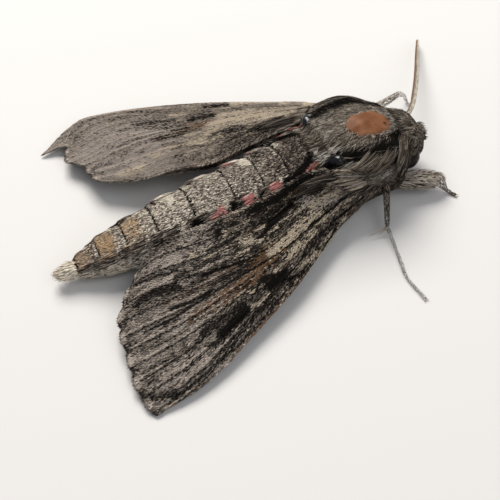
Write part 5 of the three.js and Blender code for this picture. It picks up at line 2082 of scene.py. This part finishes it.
@dataclass
class LegCoat:
    """The hair of the legs, with spurs and claws."""

    coat: bpy.types.Material
    horn: bpy.types.Material
    legs: tuple[LegForm, ...] = LEGS
    rng: np.random.Generator = field(default_factory=lambda: np.random.default_rng(29))
    spurs: tuple[tuple[Point, Point], ...] = (
        ((14.4, -9.4, 1.1), (11.9, -9.4, 0.6)), ((14.4, -9.6, 1.1), (13.3, -9.6, 0.5)),
        ((11.7, 11.5, 1.1), (9.8, 10.6, 0.5)), ((11.7, 11.7, 1.1), (9.7, 12.1, 0.6)),
        ((2.7, -8.7, 0.75), (0.6, -8.0, 0.35)), ((2.6, -8.9, 0.75), (0.9, -9.3, 0.4)),
        ((4.6, -8.1, 1.1), (3.0, -7.2, 0.5)), ((2.5, 11.3, 0.75), (0.5, 10.4, 0.35)),
        ((2.5, 11.5, 0.75), (0.7, 12.0, 0.4)), ((4.4, 10.9, 1.1), (2.9, 9.9, 0.5)),
    )

    def fur(self, legs: tuple[LegForm, ...], name: str, pale: float) -> None:
        """Grow hair over some legs."""
        blades = Blades(name, *HAIR)
        s = np.array(blades.stations)[None]
        for leg in legs:
            tube = leg.tube()
            total = tube.length()
            count = int(950 * (0.6 + leg.shag))
            t, b = spots(count, 0.29)
            t = t ** 1.35
            angle = turned(b)
            radius = tube.radius(t)
            upper = smooth(tube.shares[6] + 0.06, tube.shares[6] - 0.12, t)
            length = (0.28 + (0.35 + 0.75 * leg.shag) * upper) * (0.8 + 0.4 * self.rng.random(count))
            stand = (0.05 + 0.4 * leg.shag * upper) * length * (0.5 + self.rng.random(count))
            ts = t[:, None] + length[:, None] * s / total
            twist = 0.25 * self.rng.normal(size=count)[:, None] * s
            lift = stand[:, None] * s - 0.35 * stand[:, None] * s * s
            centre = tube.place(np.minimum(ts, 1.0), angle[:, None] + twist, lift)
            foot = 1 - upper
            wave = 0.5 * np.cos(2 * math.pi * FOOT_BANDS * t)
            knee = 0.9 * bell(t - tube.shares[6], 0.02)
            light = np.maximum(0.15 * foot * (0.5 - wave), knee) + pale * upper
            marks = even(t, 0.7 * foot * (0.5 + wave), light, 0.0, 0.0)
            width = np.clip(0.07 + 0.05 * upper, 0.05, radius * 0.6)
            blades.grow(centre, tube.outward(t, angle), width, picked(marks, self.rng.random(count)),
                        self.rng.random(count), tube.unwrap(t, angle))
        dress(blades.finish(self.coat), "leg")

    def hooks(self) -> None:
        """Make the spurs of the shins and the claws of the feet as one piece."""
        bm = bmesh.new()
        cones = [(np.array(a), np.array(b), 0.13) for a, b in self.spurs]
        for leg in self.legs:
            tip, before = np.array(leg.path[-1]), np.array(leg.path[-2])
            ahead = unit(tip - before)
            beside = unit(np.cross(ahead, np.array([0, 0, 1.0])))
            for side in (-1, 1):
                root = tip - ahead * 0.12 + beside * side * 0.08
                reach = ahead * 0.45 + beside * side * 0.22 - np.array([0, 0, 0.14])
                cones.append((root, root + reach, 0.09))
        for start, end, radius in cones:
            length = float(np.linalg.norm(end - start))
            made = bmesh.ops.create_cone(bm, cap_ends=True, segments=8, radius1=radius * MM,
                                         radius2=0.012 * MM, depth=length * MM)
            rail = Vector(end - start)
            turn = rail.to_track_quat("Z", "Y").to_matrix()
            middle = Vector(to_row((start + end) / 2))
            for v in made["verts"]:
                v.co = turn @ v.co + middle
                v.co.z = max(v.co.z, 0.01 * MM)
        bmesh.ops.recalc_face_normals(bm, faces=bm.faces)
        dress(linked("spurs_and_claws", mesh_of("spurs_and_claws", bm), self.horn), "leg")

    def build(self) -> None:
        """Make the coat of all legs."""
        self.fur(self.legs[:2], "foreleg_hair", 0.62)
        self.fur(self.legs[2:], "leg_hair", 0.08)
        self.hooks()


# ---- Studio --------------------------------------------------------------------------------


@dataclass(frozen=True)
class Lamp:
    """One soft square light: its way in degrees, distance and size in metres, power in watts."""

    name: str
    azimuth: float
    elevation: float
    distance: float
    size: float
    power: float
    colour: Colour


@dataclass
class Studio:
    """The pale floor, the soft lights and the camera."""

    azimuth: float = -24.7
    elevation: float = 52.0
    distance: float = 115.3
    target: Point = (-3.22, -6.91, 3.0)
    lens: float = 69.12
    sky: Colour = (0.86, 0.9, 1.0)
    sky_strength: float = 0.42
    ground: Colour = (0.47, 0.455, 0.435)
    lamps: tuple[Lamp, ...] = (
        Lamp("key", 85.0, 50.0, 0.55, 0.34, 5.9, (1.0, 0.975, 0.94)),
        Lamp("fill", -65.0, 50.0, 0.7, 0.6, 2.1, (0.96, 0.98, 1.0)),
    )

    def floor(self) -> None:
        """Lay the floor."""
        bm = bmesh.new()
        bmesh.ops.create_grid(bm, x_segments=4, y_segments=4, size=6.0)
        material = bpy.data.materials.new("floor_pale")
        material.use_nodes = True
        paint = material.node_tree.nodes["Principled BSDF"]
        paint.inputs["Base Color"].default_value = (*self.ground, 1.0)
        paint.inputs["Roughness"].default_value = 0.9
        linked("floor", mesh_of("floor", bm), material)

    def light(self, lamp: Lamp) -> None:
        """Hang one soft light that faces the moth."""
        data = bpy.data.lights.new(lamp.name, "AREA")
        data.size, data.energy, data.color = lamp.size, lamp.power, lamp.colour
        hung = bpy.data.objects.new(lamp.name, data)
        a, e = math.radians(lamp.azimuth), math.radians(lamp.elevation)
        way = Vector((math.cos(a) * math.cos(e), math.sin(a) * math.cos(e), math.sin(e)))
        hung.location = way * lamp.distance
        hung.rotation_euler = way.to_track_quat("Z", "Y").to_euler()
        bpy.context.scene.collection.objects.link(hung)

    def camera(self) -> None:
        """Set up the camera."""
        a, e = math.radians(self.azimuth), math.radians(self.elevation)
        back = Vector((math.sin(a) * math.cos(e), -math.cos(a) * math.cos(e), math.sin(e)))
        data = bpy.data.cameras.new("camera")
        data.lens, data.sensor_width, data.sensor_fit = self.lens, 36.0, "HORIZONTAL"
        data.clip_start, data.clip_end = 0.005, 20.0
        eye = bpy.data.objects.new("camera", data)
        eye.location = Vector(to_row(np.array(self.target))) + back * self.distance * MM
        eye.rotation_euler = back.to_track_quat("Z", "Y").to_euler()
        bpy.context.scene.collection.objects.link(eye)
        bpy.context.scene.camera = eye

    def build(self) -> None:
        """Make floor, lights, sky and camera."""
        self.camera()
        self.floor()
        for lamp in self.lamps:
            self.light(lamp)
        world = bpy.data.worlds.new("sky")
        world.use_nodes = True
        sky = world.node_tree.nodes["Background"]
        sky.inputs["Color"].default_value = (*self.sky, 1.0)
        sky.inputs["Strength"].default_value = self.sky_strength
        bpy.context.scene.world = world
        bpy.context.scene.view_settings.view_transform = "Standard"


def main() -> None:
    """Build the studio, then the moth part by part."""
    logging.basicConfig(level=logging.INFO, format="%(name)s %(message)s")
    Studio().build()
    groups = {"tones": tone_group(), "fur": grain_group()}
    finishes = {
        "skin": CoatFinish("moth_skin", THORAX_TONES, groups, on_skin=True, second=ABDOMEN_TONES).make(),
        "thorax": CoatFinish("thorax_hair", THORAX_TONES, groups).make(),
        "abdomen": CoatFinish("abdomen_scales", THORAX_TONES, groups, second=ABDOMEN_TONES).make(),
        "wing": CoatFinish("wing_skin", WING_TONES, groups, on_skin=True).make(),
        "wing_coat": CoatFinish("wing_scales", WING_TONES, groups).make(),
        "leg": CoatFinish("leg_hair", LEG_TONES, groups).make(),
        "feeler": CoatFinish("feeler_skin", FEELER_TONES, groups, on_skin=True).make(),
        "feeler_coat": CoatFinish("feeler_scales", FEELER_TONES, groups).make(),
    }
    Skin(finishes["skin"]).build()
    Eyes(EyeFinish().make()).build()
    BodyCoat(finishes).build()
    Wings(finishes["wing"], finishes["wing_coat"]).build()
    Feelers(finishes["feeler"], finishes["feeler_coat"]).build()
    LegCoat(finishes["leg"], HornFinish().make()).build()


if __name__ == "__main__":
    main()
